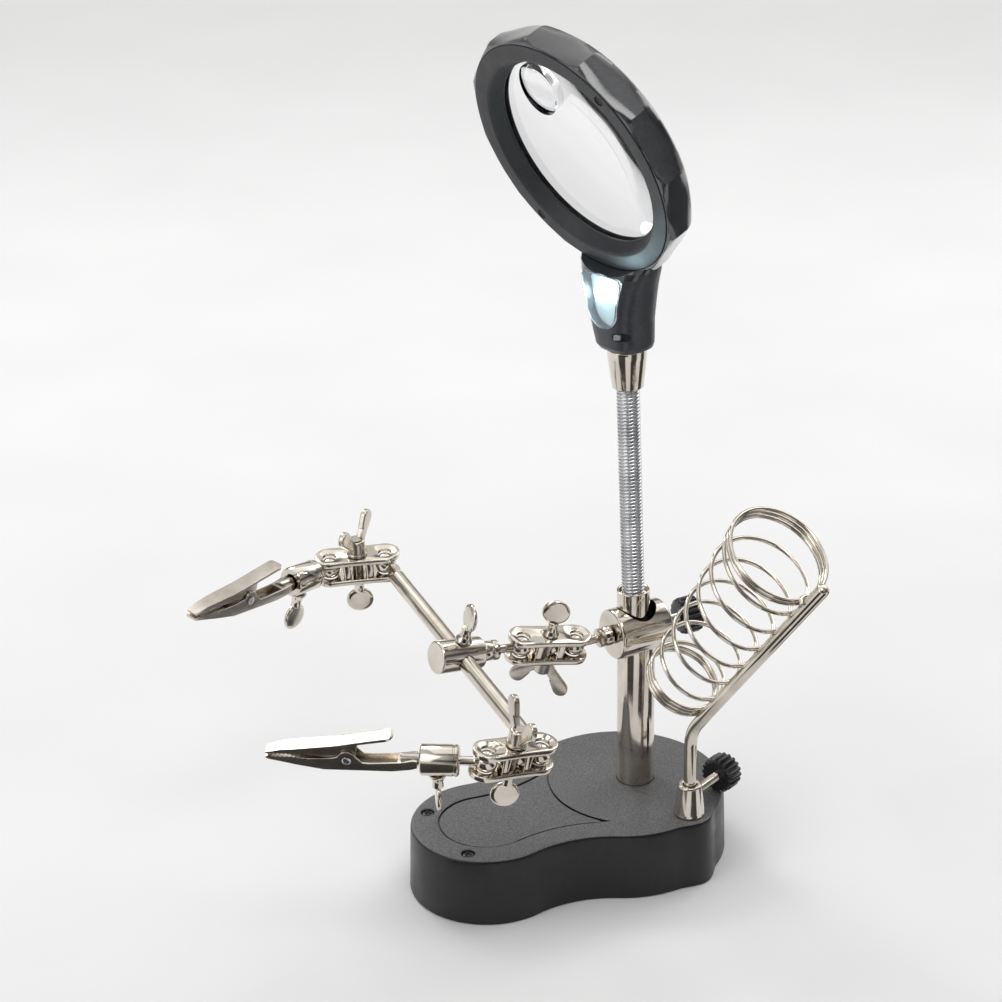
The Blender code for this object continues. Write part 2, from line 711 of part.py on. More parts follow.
def make_arm():
    ball_pivot, ball_centre = make_collar()
    clamp_c, next_ball = ball_clamp("c", ball_centre, CLAMP_C_AIM, CLAMP_C_ROLL, -1, 34, -18, ball_pivot)
    barrel_pivot, cross_place = make_barrel(next_ball, clamp_c)
    (ball_a, centre_a), (ball_b, centre_b) = make_crossbar(cross_place, barrel_pivot)
    clamp_a, end_a = ball_clamp("a", centre_a, CLAMP_A_AIM, CLAMP_AB_ROLL, 1, 58, 0, ball_a)
    clamp_b, end_b = ball_clamp("b", centre_b, CLAMP_B_AIM, CLAMP_AB_ROLL, 1, 84, 20, ball_b)
    make_clip("a", clamp_a, end_a, CLIP_A_AIM, CLAMP_AB_ROLL, 0)
    make_clip("b", clamp_b, end_b, CLIP_B_AIM, CLAMP_AB_ROLL, 80)


# Gooseneck


def joint_heights():
    span = (GOOSENECK_TOP - GOOSENECK_BOTTOM) / GOOSENECK_JOINTS
    return [GOOSENECK_BOTTOM + span * (i + 0.5) for i in range(GOOSENECK_JOINTS)]


def dome(height):
    """The profile of a link's top end, which nests in the cup above it."""
    reach = math.degrees(math.asin(-LINK_END / DOME_RADIUS))
    points = arc((0, height), DOME_RADIUS, 90, reach, 6)
    return [(0, points[0][1]), *points[1:], (GOOSENECK_RADIUS, height - LINK_END)]


def cup(height):
    """The profile of a link's bottom end, from its rim in to the axis."""
    start = math.degrees(math.asin(LINK_END / CUP_RADIUS))
    points = arc((0, height), CUP_RADIUS, start, 90, 6)
    return [(GOOSENECK_RADIUS, height + LINK_END), *points[:-1], (0, points[-1][1])]


def leaning():
    """The gooseneck's own frame, on the column's axis at floor level: its ferrule sits a little tilted."""
    towards = turned(LEAN_HEADING)
    foot = shifted(COLUMN_X, 0, COLUMN_TOP) @ towards @ shifted(LEAN_OFFSET)
    return foot @ turned(LEAN, "Y") @ towards.inverted() @ shifted(0, 0, -COLUMN_TOP)


def make_gooseneck():
    heights = joint_heights()
    foot = COLUMN_TOP + 2 * GAP
    profile = dome(heights[0]) + [
        (GOOSENECK_RADIUS, GOOSENECK_BOTTOM),
        (6.6, GOOSENECK_BOTTOM),
        (7.1, GOOSENECK_BOTTOM - 0.6),
        (7.1, foot),
        (0, foot),
    ]
    lathe("lower_ferrule", profile, "nickel", place=leaning())
    parent = None
    for index, (low, high) in enumerate(zip(heights, heights[1:]), 1):
        place = leaning() @ shifted(0, 0, low)
        parent = pivot(f"gooseneck_pivot_{index}", place, parent)
        link = dome(high - low) + cup(0)
        lathe(f"gooseneck_link_{index}", link, "steel", parent)
    top = heights[-1]
    head_pivot = pivot("head_pivot", leaning() @ shifted(0, 0, top), parent)
    seat = HEAD_Z - GAP - top
    ferrule = [(0, seat), (8.0, seat), (8.0, seat - 2), (6.4, GOOSENECK_TOP - top), (GOOSENECK_RADIUS, GOOSENECK_TOP - top)]
    lathe("upper_ferrule", ferrule + cup(0), "nickel", head_pivot)
    return head_pivot


# Head


def head_frame():
    return leaning() @ shifted(0, 0, HEAD_Z) @ turned(HEAD_YAW)


def lens_frame():
    """+Z out of the front of the lens, +Y up its face."""
    tilt = math.radians(LENS_TILT)
    front = Vector((-math.cos(tilt), 0, -math.sin(tilt)))
    up = Vector((-math.sin(tilt), 0, math.cos(tilt)))
    side = up.cross(front)
    local = Matrix((side, up, front)).transposed().to_4x4()
    return head_frame() @ Matrix.Translation(Vector(LENS_CENTRE)) @ local


def neck_ring(centre_x, depth, width, z, count=20):
    """A rounded rectangle, as the points of a superellipse."""
    points = []
    for i in range(count):
        angle = 2 * math.pi * i / count
        c, s = math.cos(angle), math.sin(angle)
        x = centre_x + depth / 2 * math.copysign(abs(c) ** 0.7, c)
        y = width / 2 * math.copysign(abs(s) ** 0.7, s)
        points.append((x, y, z))
    return points


def window_prism(inset, back, front):
    """The U-shaped outline of the LED window, drawn along the head's X."""
    radius, bottom = WINDOW_RADIUS - inset, WINDOW_BOTTOM
    half, top = WINDOW_HALF_WIDTH - inset, WINDOW_TOP - inset
    outline = arc((0, bottom + WINDOW_RADIUS), radius, 180, 360, 9) + [(half, top), (-half, top)]
    made = prism(outline, back, front)
    made.transform(Matrix(((0, 0, 1), (1, 0, 0), (0, 1, 0))).to_4x4())
    return made


def to_switch():
    """From the head's frame to the switch's: +X out of the neck, and the slider moves along Y."""
    return shifted(0, 0, SWITCH_Z) @ turned(180 + SWITCH_TURN)


def switch_slot():
    length, radius = SWITCH_SLOT
    straight = length - radius
    outline = arc((straight, 0), radius, -90, 90, 9) + arc((-straight, 0), radius, 90, 270, 9)
    made = prism(outline, SWITCH_DEPTH, 30)
    made.transform(Matrix(((0, 0, 1), (1, 0, 0), (0, 1, 0))).to_4x4())
    return made


def ring_rim():
    """The scalloped rim: a ring whose outer radius dips at each facet."""
    steps_per_facet = 4
    count = RING_FACETS * steps_per_facet

    def outline(radius, z, scallop):
        points = []
        for i in range(count):
            angle = 2 * math.pi * i / count
            dip = scallop * 0.5 * (1 - math.cos(RING_FACETS * angle))
            points.append(((radius - dip) * math.cos(angle), (radius - dip) * math.sin(angle), z))
        return points

    return loft(
        [
            outline(RING_RADIUS - 5.0, RING_BACK, 0.0),
            outline(RING_RADIUS - 1.4, RING_BACK + 2.5, 0.4),
            outline(RING_RADIUS, -1.5, RING_FACET_DEPTH),
            outline(RING_RADIUS, 4.5, RING_FACET_DEPTH),
            outline(RING_RADIUS - 1.4, RING_FRONT, 0.2),
        ]
    )


def lens_cap(radius, thickness, sign, points=7):
    """Points down a lens's spherical face, from the axis out, or back in for sign -1."""
    sphere = (radius**2 + thickness**2) / (2 * thickness)
    radii = [radius * i / (points - 1) for i in range(points)]
    rise = [math.sqrt(sphere**2 - r**2) - (sphere - thickness) for r in radii]
    face = [(r, sign * (LENS_EDGE / 2 + h)) for r, h in zip(radii, rise)]
    return face if sign > 0 else face[::-1]


def make_head(parent):
    neck_frame = pivot("head_frame", head_frame(), parent)
    lens = pivot("lens_frame", lens_frame(), parent)
    to_lens = head_frame().inverted() @ lens_frame()

    neck = [
        neck_ring(-0.2, 17, 19, 0),
        neck_ring(-0.8, 20.5, 22, 2.5),
        neck_ring(-1.8, 22.5, 24, 13),
        neck_ring(-2.4, 23, 28.5, 28),
        neck_ring(-2.0, 21, 32, 36),
        neck_ring(-1.0, 13, 32, 42),
    ]
    shell = solid("head_rear_shell", loft(neck), "black_plastic", neck_frame)
    cut(shell, window_prism(0, -30, -6))
    cut(shell, switch_slot(), to_switch())
    fuse(shell, ring_rim(), to_lens)
    cut(shell, cylinder(-20, 20, LENS_WINDOW, segments=48), to_lens)
    cut(shell, cylinder(-LENS_EDGE / 2 - 0.9, 20, LENS_RADIUS + GAP, segments=48), to_lens)
    cut(shell, cylinder(1.9, 20, FRONT_RING_RADIUS + GAP, segments=48), to_lens)

    front = [
        (FRONT_RING_RADIUS, RING_FRONT + 0.4),
        (FRONT_RING_RADIUS, 2.2),
        (LENS_WINDOW, 2.2),
        (LENS_WINDOW, 3.4),
        (LENS_WINDOW + 3.4, RING_FRONT + 0.4),
    ]
    ring = lathe("head_front_ring", front, "black_plastic", lens, steps=48, closed=True)
    for index, turn in enumerate((45, 225), 1):
        spot = turned(turn) @ shifted(HEAD_SCREW_RADIUS)
        cut(ring, cylinder(RING_FRONT - 0.6, RING_FRONT + 5, 2.2, segments=14), spot)
        head = cylinder(RING_FRONT - 0.3, RING_FRONT + 0.3, 1.8, segments=14)
        screw = solid(f"head_screw_{index}", head, "steel", lens, spot)
        cut(screw, box((-1.3, -0.25, RING_FRONT), (1.3, 0.25, RING_FRONT + 1)), spot)

    biconvex = lens_cap(LENS_RADIUS, LENS_BULGE, 1) + lens_cap(LENS_RADIUS, LENS_BULGE, -1)
    glass = lathe("main_lens", biconvex, "glass", lens, steps=40)
    inset_spot = turned(INSET_TURN) @ shifted(INSET_DISTANCE)
    cut(glass, cylinder(-20, 20, INSET_RADIUS + GAP, segments=24), inset_spot)
    bulge = 3.2
    small = lens_cap(INSET_RADIUS, bulge, 1, 5) + lens_cap(INSET_RADIUS, bulge, -1, 5)
    lathe("inset_lens", small, "glass", lens, inset_spot, steps=24)

    solid("led_cover", window_prism(GAP, -13.2, -11.6), "clear_plastic", neck_frame)
    board = solid("led_board", window_prism(GAP, -7.6, -6.3), "led_white", neck_frame)
    forwards = turned(-90, "Y")
    for side in (1, -1):
        fuse(board, cylinder(7, 10.4, 2.5, 1.6, segments=16), shifted(0, side * 4.6, 24) @ forwards)
    slider_frame = pivot("switch_frame", head_frame() @ to_switch(), parent)
    half_length, half_height = SLIDER_HALF
    low = (SWITCH_DEPTH + GAP, SWITCH_AT - half_length, -half_height)
    high = (SWITCH_DEPTH + 3.0, SWITCH_AT + half_length, half_height)
    solid("switch_slider", box(low, high), "black_plastic", slider_frame)


# Soldering iron rest


def rod_direction():
    yaw, pitch = math.radians(ROD_YAW), math.radians(ROD_PITCH)
    return Vector((math.cos(yaw) * math.cos(pitch), math.sin(yaw) * math.cos(pitch), math.sin(pitch)))


def rod_route():
    """Up out of the socket, round one bend and on along the slope."""
    corner = Vector((0, 0, ROD_BEND_Z))
    slope = rod_direction()
    reach = 5.5
    start, end = corner - Vector((0, 0, reach)), corner + slope * reach
    bend = [
        (1 - t) ** 2 * start + 2 * t * (1 - t) * corner + t**2 * end
        for t in (i / 8 for i in range(9))
    ]
    return [Vector((0, 0, 34.5)), *bend, corner + slope * ROD_SLOPE_LENGTH]


def coil_route():
    """A cone of wire whose turns all touch the rod's upper side."""
    slope = rod_direction()
    above = (Vector((0, 0, 1)) - slope.z * slope).normalized()
    above.rotate(Matrix.Rotation(-math.radians(COIL_LEAN), 3, slope))
    side = slope.cross(above)
    turns = 2 * COIL_CLOSE_TURNS + COIL_OPEN_TURNS
    close_pitch = 2 * WIRE_RADIUS + 0.4
    close_length = COIL_CLOSE_TURNS * close_pitch
    open_length = COIL_END - COIL_START - 2 * close_length
    count = round(turns * COIL_STEPS)
    points = []
    for i in range(count + 1):
        turn = turns * i / count
        open_turn = min(max(turn - COIL_CLOSE_TURNS, 0), COIL_OPEN_TURNS)
        along = (turn - open_turn) * close_pitch + open_turn / COIL_OPEN_TURNS * open_length
        radius = COIL_BOTTOM_RADIUS + (COIL_TOP_RADIUS - COIL_BOTTOM_RADIUS) * along / (COIL_END - COIL_START)
        centre = slope * (COIL_START + along) + above * (radius + ROD_RADIUS + WIRE_RADIUS + GAP)
        angle = 2 * math.pi * turn
        points.append(centre + radius * (math.sin(angle) * side - math.cos(angle) * above))
    return points


def make_rest():
    boss = shifted(*REST_AT)
    foot = BASE_HEIGHT + GAP
    bore = ROD_RADIUS + GAP
    profile = [(bore, REST_TOP), (4.5, REST_TOP), (5.0, REST_TOP - 0.8), (6.8, foot), (0, foot), (0, 34), (bore, 34)]
    socket = lathe("rest_socket", profile, "nickel", place=boss, steps=24, closed=True)
    knob_place = boss @ shifted(0, 0, REST_KNOB_Z) @ turned(REST_KNOB_YAW)
    lengthways = turned(90, "Y")
    tool_place = knob_place @ lengthways
    cut(socket, cylinder(1, 12, 2.2, segments=16), tool_place)
    knob_pivot = pivot("rest_knob_pivot", knob_place)
    knob_screw("rest_knob", knob_pivot, ROD_RADIUS + GAP, REST_KNOB_START, lengthways)
    rod_pivot = pivot("rest_rod_pivot", boss)
    wire("rest_rod", rod_route(), ROD_RADIUS, "nickel", rod_pivot)
    wire("rest_coil", coil_route(), WIRE_RADIUS, "nickel", rod_pivot, shifted(0, 0, ROD_BEND_Z))


clear_scene()
PARTS = new_collection("helping_hands_magnifier")
CUTTERS = new_collection("cutters")
make_base()
make_column()
make_arm()
make_head(make_gooseneck())
make_rest()
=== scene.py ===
"""The helping hands magnifier, shown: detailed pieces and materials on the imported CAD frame.

Shapes are drawn in millimetres in each joint's own frame, and placed() turns them into metres in the model's
frame. The dimensions repeat the CAD part's own. A number inside an outline is a point of it, in millimetres.
"""

import json
import math

import bmesh
import bpy
from mathutils import Matrix, Vector

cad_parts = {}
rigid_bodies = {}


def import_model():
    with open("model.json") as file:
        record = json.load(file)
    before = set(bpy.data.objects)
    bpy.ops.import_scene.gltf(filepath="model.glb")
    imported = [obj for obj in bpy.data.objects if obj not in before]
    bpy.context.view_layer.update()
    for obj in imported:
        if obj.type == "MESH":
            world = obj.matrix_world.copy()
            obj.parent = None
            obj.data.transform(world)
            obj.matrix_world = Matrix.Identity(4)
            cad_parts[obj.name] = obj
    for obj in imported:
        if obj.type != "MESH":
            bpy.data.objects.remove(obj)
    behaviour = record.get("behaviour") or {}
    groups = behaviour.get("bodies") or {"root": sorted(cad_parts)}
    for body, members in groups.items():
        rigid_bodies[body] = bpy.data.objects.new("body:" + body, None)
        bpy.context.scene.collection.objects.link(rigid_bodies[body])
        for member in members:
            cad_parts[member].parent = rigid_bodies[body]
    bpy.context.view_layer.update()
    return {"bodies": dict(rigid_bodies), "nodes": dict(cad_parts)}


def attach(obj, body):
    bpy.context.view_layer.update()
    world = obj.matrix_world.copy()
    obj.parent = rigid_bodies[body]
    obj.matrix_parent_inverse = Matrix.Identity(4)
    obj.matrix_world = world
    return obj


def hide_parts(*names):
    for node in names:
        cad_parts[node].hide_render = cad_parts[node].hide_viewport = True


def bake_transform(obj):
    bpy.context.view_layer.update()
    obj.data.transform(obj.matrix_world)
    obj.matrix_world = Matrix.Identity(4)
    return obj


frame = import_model()

MM = 0.001
FINE = 64
GAP, HOLE_GAP = 0.3, 0.25

BASE_HEIGHT = 30.2
TRAY_LOBE = {"x": -38.9, "radius": 33.2}
COLUMN_LOBE = {"x": 26.4, "radius": 45.7}
WAIST_RADIUS = 47.9
BULGE, BULGE_SPREAD = 3.5, 17.0
BASE_DRAFT = 1.0
BASE_WALL = 2.6
TRAY_INSET = 12.5
TRAY_DEPTH = 0.6
TRAY_END_RADIUS = 37.5
TRAY_SCREW_AT = ((-57.5, 18.6), (-57.5, -18.6))

COLUMN_X = 34.0
COLUMN_RADIUS = 8.0
COLUMN_TOP = 103.0
COLLAR_Z = 102.5
COLLAR_RADIUS = 10.8
COLLAR_LENGTH = 24.5
COLUMN_BORE = 8.3
KNOB_RADIUS, KNOB_LENGTH = 8.0, 9.0
HOSE_RADIUS = 4.85
HOSE_BOTTOM, HOSE_TOP = 121.0, 212.0
HOSE_PITCH, HOSE_GROOVE = 1.52, 0.72
HOSE_SEAT, HOSE_BEND = 2.2, 10.5
FERRULE_RADIUS, FERRULE_TOP_RADIUS = 6.95, 8.0
HEAD_Z = 229.0
LEAN, LEAN_OFFSET, LEAN_HEADING = 1.7, 0.9, 152.0

HEAD_YAW, LENS_TILT = 10.0, 22.1
LENS_CENTRE = (-19.0, 0.0, 85.6)
LENS_RADIUS, LENS_WINDOW = 43.5, 40.6
LENS_EDGE, LENS_BULGE = 3.0, 3.2
INSET_RADIUS, INSET_DISTANCE, INSET_TURN = 10.6, 28.6, 112.0
RING_RADIUS, RING_FRONT, RING_BACK = 53.6, 8.0, -6.5
RING_FACETS = 12
FACET_DEPTH = 2.1
FRONT_RING_RADIUS = 50.6
HEAD_SCREW_RADIUS = 47.6
WINDOW_RADIUS, WINDOW_BOTTOM = 8.8, 10.8
WINDOW_HALF_WIDTH, WINDOW_TOP = 11.8, 33.4
SWITCH_TURN, SWITCH_Z = 40.0, 8.6
SWITCH_SLOT, SWITCH_DEPTH, SWITCH_AT = (3.8, 1.8), 11.0, -1.6
LAMP_SIDE, LAMP_Z = 4.6, 24.0
LENS_SIDES = 144

BALL_RADIUS, NECK_RADIUS = 4.5, 1.8
BALL_SPACING = 23.5
PLATE_RADIUS, PLATE_INNER, PLATE_OUTER = 6.3, 3.6, 6.0
BALL_HOLE, CLAMP_SCREW_RADIUS = 3.0, 2.3
PADDLE_RADIUS, PADDLE_THICKNESS = 5.8, 2.4
STUD_LENGTH = 30.3

COLLAR_KNOB_START = 21.0
CLAMP_C_AIM, CLAMP_C_ROLL = (-10.0, 8.2), 14.0
BARREL_AIM = (4.0, 9.2)
BARREL_HOLE_AT, BARREL_END, BARREL_START, BARREL_RADIUS = 30.0, 41.5, 20.6, 6.8
CROSSBAR_DROP, CROSSBAR_RADIUS = 13.7, 3.5
CROSSBAR_TO = {"a": 66.0, "b": 65.0}
BAR_INSET, BAR_TAPER = 11.0, 3.5
CLAMP_AIM = {"a": (-21.6, -1.8), "b": (-0.5, 7.9)}
CLAMP_AB_ROLL = 10.0
CLAMP_SCREW_END = -13.5
CLIP_AIM = {"a": (24.9, 7.2), "b": (-32.1, 0.7)}

SOCKET_START, SOCKET_END, SOCKET_RADIUS, SOCKET_BORE = 10.4, 25.4, 6.2, 3.2
CLIP_SCREW_AT, TAIL_RADIUS = 19.0, 2.5
PIVOT_X, PIVOT_Z, PIN_RADIUS = 53.5, 1.0, 1.2
CLIP_TIP = 85.0
LOWER_JAW_WIDTH, UPPER_JAW_WIDTH, LEVER_WIDTH = 6.8, 4.8, 7.0

REST_AT, REST_TOP = (38.6, -36.7), 44.3
ROD_RADIUS, ROD_BEND_Z = 2.7, 69.5
ROD_YAW, ROD_PITCH, ROD_SLOPE_LENGTH = -75.0, 53.0, 112.0
REST_KNOB_YAW, REST_KNOB_Z, REST_KNOB_START = 23.0, 38.6, 19.4
WIRE_RADIUS = 0.9
COIL_START, COIL_END = 8.0, 99.5
COIL_BOTTOM_RADIUS, COIL_TOP_RADIUS = 15.2, 21.1
COIL_LEAN = 11.0
COIL_CLOSE_TURNS, COIL_OPEN_TURNS = 2.5, 6.0
HOOK_SWEEP = 80.0

CAMERA_AT, CAMERA_LENS, CAMERA_ROLL = (-0.4349, -0.7671, 0.5599), 85.6, -1.0
CAMERA_RIGHT, CAMERA_BACK = (0.884, -0.467, 0.0), (-0.427, -0.808, 0.405)


# Frames


def heading(yaw, pitch):
    yaw, pitch = math.radians(yaw), math.radians(pitch)
    return Vector((-math.cos(yaw) * math.cos(pitch), -math.sin(yaw) * math.cos(pitch), math.sin(pitch)))


def frame_at(origin, x_axis, z_hint):
    x_axis = Vector(x_axis).normalized()
    z_axis = Vector(z_hint)
    z_axis = (z_axis - z_axis.dot(x_axis) * x_axis).normalized()
    turn = Matrix((x_axis, z_axis.cross(x_axis), z_axis)).transposed().to_4x4()
    return Matrix.Translation(Vector(origin)) @ turn


def rolled(towards_front):
    angle = math.radians(towards_front)
    return Vector((0.0, -math.sin(angle), math.cos(angle)))


def turned(angle, axis="Z"):
    return Matrix.Rotation(math.radians(angle), 4, axis)


def shifted(x=0.0, y=0.0, z=0.0):
    return Matrix.Translation(Vector((x, y, z)))


def leaning():
    towards = turned(LEAN_HEADING)
    foot = shifted(COLUMN_X, 0, COLUMN_TOP) @ towards @ shifted(LEAN_OFFSET)
    return foot @ turned(LEAN, "Y") @ towards.inverted() @ shifted(0, 0, -COLUMN_TOP)


def head_frame():
    return leaning() @ shifted(0, 0, HEAD_Z) @ turned(HEAD_YAW)


def lens_frame():
    tilt = math.radians(LENS_TILT)
    front = Vector((-math.cos(tilt), 0, -math.sin(tilt)))
    up = Vector((-math.sin(tilt), 0, math.cos(tilt)))
    local = Matrix((up.cross(front), up, front)).transposed().to_4x4()
    return head_frame() @ Matrix.Translation(Vector(LENS_CENTRE)) @ local


ALONG_X = turned(90, "Y")


# Scene and nodes


def in_scene(name, data):
    made = bpy.data.objects.new(name, data)
    bpy.context.scene.collection.objects.link(made)
    return made


def set_sockets(node, values):
    """Sets the node's own sockets. An underscore stands for a space in a socket's name."""
    for socket, value in values.items():
        node.inputs[socket.replace("_", " ")].default_value = value


def new_node(tree, kind, **values):
    made = tree.nodes.new(f"ShaderNode{kind}")
    set_sockets(made, values)
    return made


def fill_ramp(ramp, stops):
    while len(ramp.elements) < len(stops):
        ramp.elements.new(0.5)
    for element, (position, colour) in zip(ramp.elements, stops):
        element.position = position
        element.color = (*colour, 1.0)


# Materials


class Finish:
    """A node material on object coordinates, which stay with the piece as it moves."""

    def __init__(self, name, roughness, metallic=0.0):
        self.material = bpy.data.materials.new(name)
        self.material.use_nodes = True
        self.tree = self.material.node_tree
        self.shader = self.tree.nodes["Principled BSDF"]
        self.set(Metallic=metallic, Roughness=roughness)
        self.place = self.node("TexCoord").outputs["Object"]

    def node(self, kind, **values):
        return new_node(self.tree, kind, **values)

    def link(self, start, end):
        self.tree.links.new(start, end)

    def noise(self, scale, detail=4.0, distortion=0.0):
        made = self.node("TexNoise", Scale=scale, Detail=detail, Distortion=distortion)
        self.link(self.place, made.inputs["Vector"])
        return made.outputs["Fac"]

    def colours(self, value, *stops):
        ramp = self.node("ValToRGB")
        fill_ramp(ramp.color_ramp, stops)
        self.link(value, ramp.inputs["Fac"])
        self.link(ramp.outputs["Color"], self.shader.inputs["Base Color"])

    def rough(self, value, low, high):
        spread = self.node("MapRange", From_Min=0.3, From_Max=0.7, To_Min=low, To_Max=high)
        self.link(value, spread.inputs["Value"])
        self.link(spread.outputs["Result"], self.shader.inputs["Roughness"])

    def bump(self, value, strength, distance=0.0002):
        made = self.node("Bump", Strength=strength, Distance=distance)
        self.link(value, made.inputs["Height"])
        self.link(made.outputs["Normal"], self.shader.inputs["Normal"])

    def set(self, **values):
        set_sockets(self.shader, values)


def plated(name, bright, dull, low, high):
    """Nickel plate: warm, mirror-like, with cloudy patches and faint polishing marks."""
    made = Finish(name, low, 1.0)
    made.colours(made.noise(70.0, 6.0, 0.6), (0.3, dull), (0.62, bright))
    made.rough(made.noise(260.0, 8.0), low, high)
    made.bump(made.noise(420.0, 10.0), 0.05, 0.0001)
    return made


def moulded(name, dark, light, low, high, grain, strength):
    """Moulded plastic: a fine grain, a little mottled."""
    made = Finish(name, low)
    made.colours(made.noise(grain, 6.0), (0.3, dark), (0.7, light))
    made.rough(made.noise(120.0, 5.0), low, high)
    made.bump(made.noise(grain, 8.0), strength, 0.0001)
    return made


def make_finishes():
    made = {
        "nickel": plated("nickel_plate", (0.74, 0.685, 0.61), (0.58, 0.53, 0.455), 0.07, 0.16),
        "nickel_soft": plated("nickel_satin", (0.68, 0.63, 0.56), (0.5, 0.455, 0.395), 0.17, 0.27),
        "steel": plated("bright_steel", (0.7, 0.71, 0.73), (0.5, 0.51, 0.53), 0.16, 0.3),
        "knob": moulded("knob_plastic", (0.01, 0.01, 0.011), (0.02, 0.02, 0.022), 0.15, 0.26, 900.0, 0.08),
        "gloss": moulded("rim_plastic", (0.02, 0.022, 0.026), (0.032, 0.034, 0.038), 0.16, 0.26, 500.0, 0.05),
        "neck": moulded("neck_plastic", (0.026, 0.029, 0.036), (0.04, 0.044, 0.053), 0.3, 0.42, 700.0, 0.12),
        "matte": moulded("front_plastic", (0.016, 0.017, 0.02), (0.028, 0.03, 0.034), 0.42, 0.55, 1500.0, 0.2),
        "cover": moulded("cover_plastic", (0.016, 0.016, 0.018), (0.028, 0.028, 0.03), 0.45, 0.6, 1300.0, 0.3),
        # The slider's mid grey is a painted highlight: it stands in for the glint on the dark switch.
        "slider": moulded("slider_painted_glint", (0.22, 0.23, 0.25), (0.34, 0.35, 0.37), 0.3, 0.4, 900.0, 0.1),
    }
    made["gloss"].set(Coat_Weight=1.0, Coat_Roughness=0.1)

    # The base's top: a real fine grain, but its grey is a painted sheen on the same black as the sides.
    base = made["base"] = Finish("grained_top_painted_sheen", 0.5)
    base.colours(base.noise(1500.0), (0.35, (0.075, 0.075, 0.077)), (0.65, (0.165, 0.165, 0.17)))
    base.rough(base.noise(900.0, 5.0), 0.36, 0.5)
    base.bump(base.noise(1300.0, 3.0), 0.5, 0.0003)

    side = made["side"] = Finish("satin_black", 0.4)
    side.colours(side.noise(300.0, 6.0), (0.3, (0.004, 0.004, 0.0045)), (0.7, (0.008, 0.008, 0.009)))
    side.rough(side.noise(150.0, 5.0), 0.3, 0.42)
    side.bump(side.noise(1100.0), 0.18)

    iron = made["iron"] = Finish("cast_iron_rough", 0.7, 0.7)
    iron.colours(iron.noise(200.0), (0.3, (0.05, 0.045, 0.04)), (0.7, (0.11, 0.1, 0.09)))
    iron.bump(iron.noise(500.0, 8.0), 0.7, 0.0004)

    cell = made["battery"] = Finish("cell_sleeve", 0.35)
    cell.colours(cell.noise(40.0), (0.35, (0.1, 0.2, 0.12)), (0.65, (0.16, 0.28, 0.18)))
    cell.bump(cell.noise(300.0), 0.1)

    lens = made["glass"] = Finish("lens_glass", 0.0)
    lens.set(Transmission_Weight=1.0, IOR=1.33)
    lens.colours(lens.noise(30.0, 2.0), (0.3, (0.93, 0.94, 0.95)), (0.7, (0.97, 0.975, 0.98)))
    lens.rough(lens.noise(150.0, 3.0), 0.0, 0.02)

    clear = made["clear"] = Finish("clear_cover", 0.1)
    clear.set(Transmission_Weight=1.0, IOR=1.45)
    clear.colours(clear.noise(60.0, 2.0), (0.3, (0.86, 0.9, 0.92)), (0.7, (0.93, 0.96, 0.97)))
    clear.rough(clear.noise(300.0, 3.0), 0.08, 0.2)

    lamp = made["lamp"] = Finish("lit_lamp", 0.3)
    lamp.colours(lamp.noise(200.0), (0.3, (0.8, 0.95, 1.0)), (0.7, (0.95, 1.0, 1.0)))
    lamp.set(Emission_Color=(0.75, 0.96, 1.0, 1.0), Emission_Strength=40.0)

    tray = made["reflector"] = Finish("lamp_reflector", 0.3)
    tray.colours(tray.noise(150.0), (0.3, (0.7, 0.76, 0.78)), (0.7, (0.85, 0.88, 0.9)))
    tray.bump(tray.noise(700.0), 0.2)
    return {key: finish.material for key, finish in made.items()}


# Shapes


def arc(centre, radius, start, end, count):
    angles = [math.radians(start + (end - start) * i / (count - 1)) for i in range(count)]
    return [(centre[0] + radius * math.cos(a), centre[1] + radius * math.sin(a)) for a in angles]


def softened(points, radius, steps=3, closed=False):
    """The polyline with each corner rounded."""
    points = [Vector(p) for p in points]
    count = len(points)
    made = []
    for i, point in enumerate(points):
        if not closed and i in (0, count - 1):
            made.append(tuple(point))
            continue
        before, after = points[i - 1] - point, points[(i + 1) % count] - point
        reach = min(radius, before.length * 0.45, after.length * 0.45)
        start = point + before.normalized() * reach
        end = point + after.normalized() * reach
        for step in range(steps + 1):
            t = step / steps
            made.append(tuple((1 - t) ** 2 * start + 2 * t * (1 - t) * point + t**2 * end))
    return made


def revolve(profile, steps=FINE):
    """A turned solid about Z. The profile starts and ends on the axis, or else it is a closed loop."""
    made = bmesh.new()
    rings = []
    for radius, height in profile:
        if radius < 1e-6:
            rings.append([made.verts.new((0, 0, height))])
            continue
        turns = [2 * math.pi * i / steps for i in range(steps)]
        rings.append([made.verts.new((radius * math.cos(a), radius * math.sin(a), height)) for a in turns])
    pairs = list(zip(rings, rings[1:]))
    if len(rings[0]) > 1:
        pairs.append((rings[-1], rings[0]))
    for lower, upper in pairs:
        for i in range(steps):
            j = (i + 1) % steps
            corners = [ring[k % len(ring)] for ring, k in ((lower, i), (lower, j), (upper, j), (upper, i))]
            made.faces.new(list(dict.fromkeys(corners)))
    return made


def lathe(profile, edge, sides=FINE, steps=3, closed=False):
    """A turned solid about Z whose profile has its corners rounded."""
    return revolve(softened(profile, edge, steps, closed), sides)


def rod(start, end, radius, edge=0.3, sides=FINE):
    """A turned bar along Z with rounded rims."""
    return lathe([(0, start), (radius, start), (radius, end), (0, end)], edge, sides)


def round_hole(start, end, radius, sides=40):
    """A cutter along Z whose rims are all but sharp."""
    return rod(start, end, radius, 0.05, sides)


def threaded(start, end, radius):
    pitch, depth = 0.7, 0.22
    count = max(int((end - start) / pitch), 1)
    profile = [(0, start)]
    for i in range(count):
        low = start + (end - start) * i / count
        profile += [(radius - depth, low), (radius, low + pitch / 2)]
    return revolve([*profile, (radius - depth, end), (0, end)], 32)


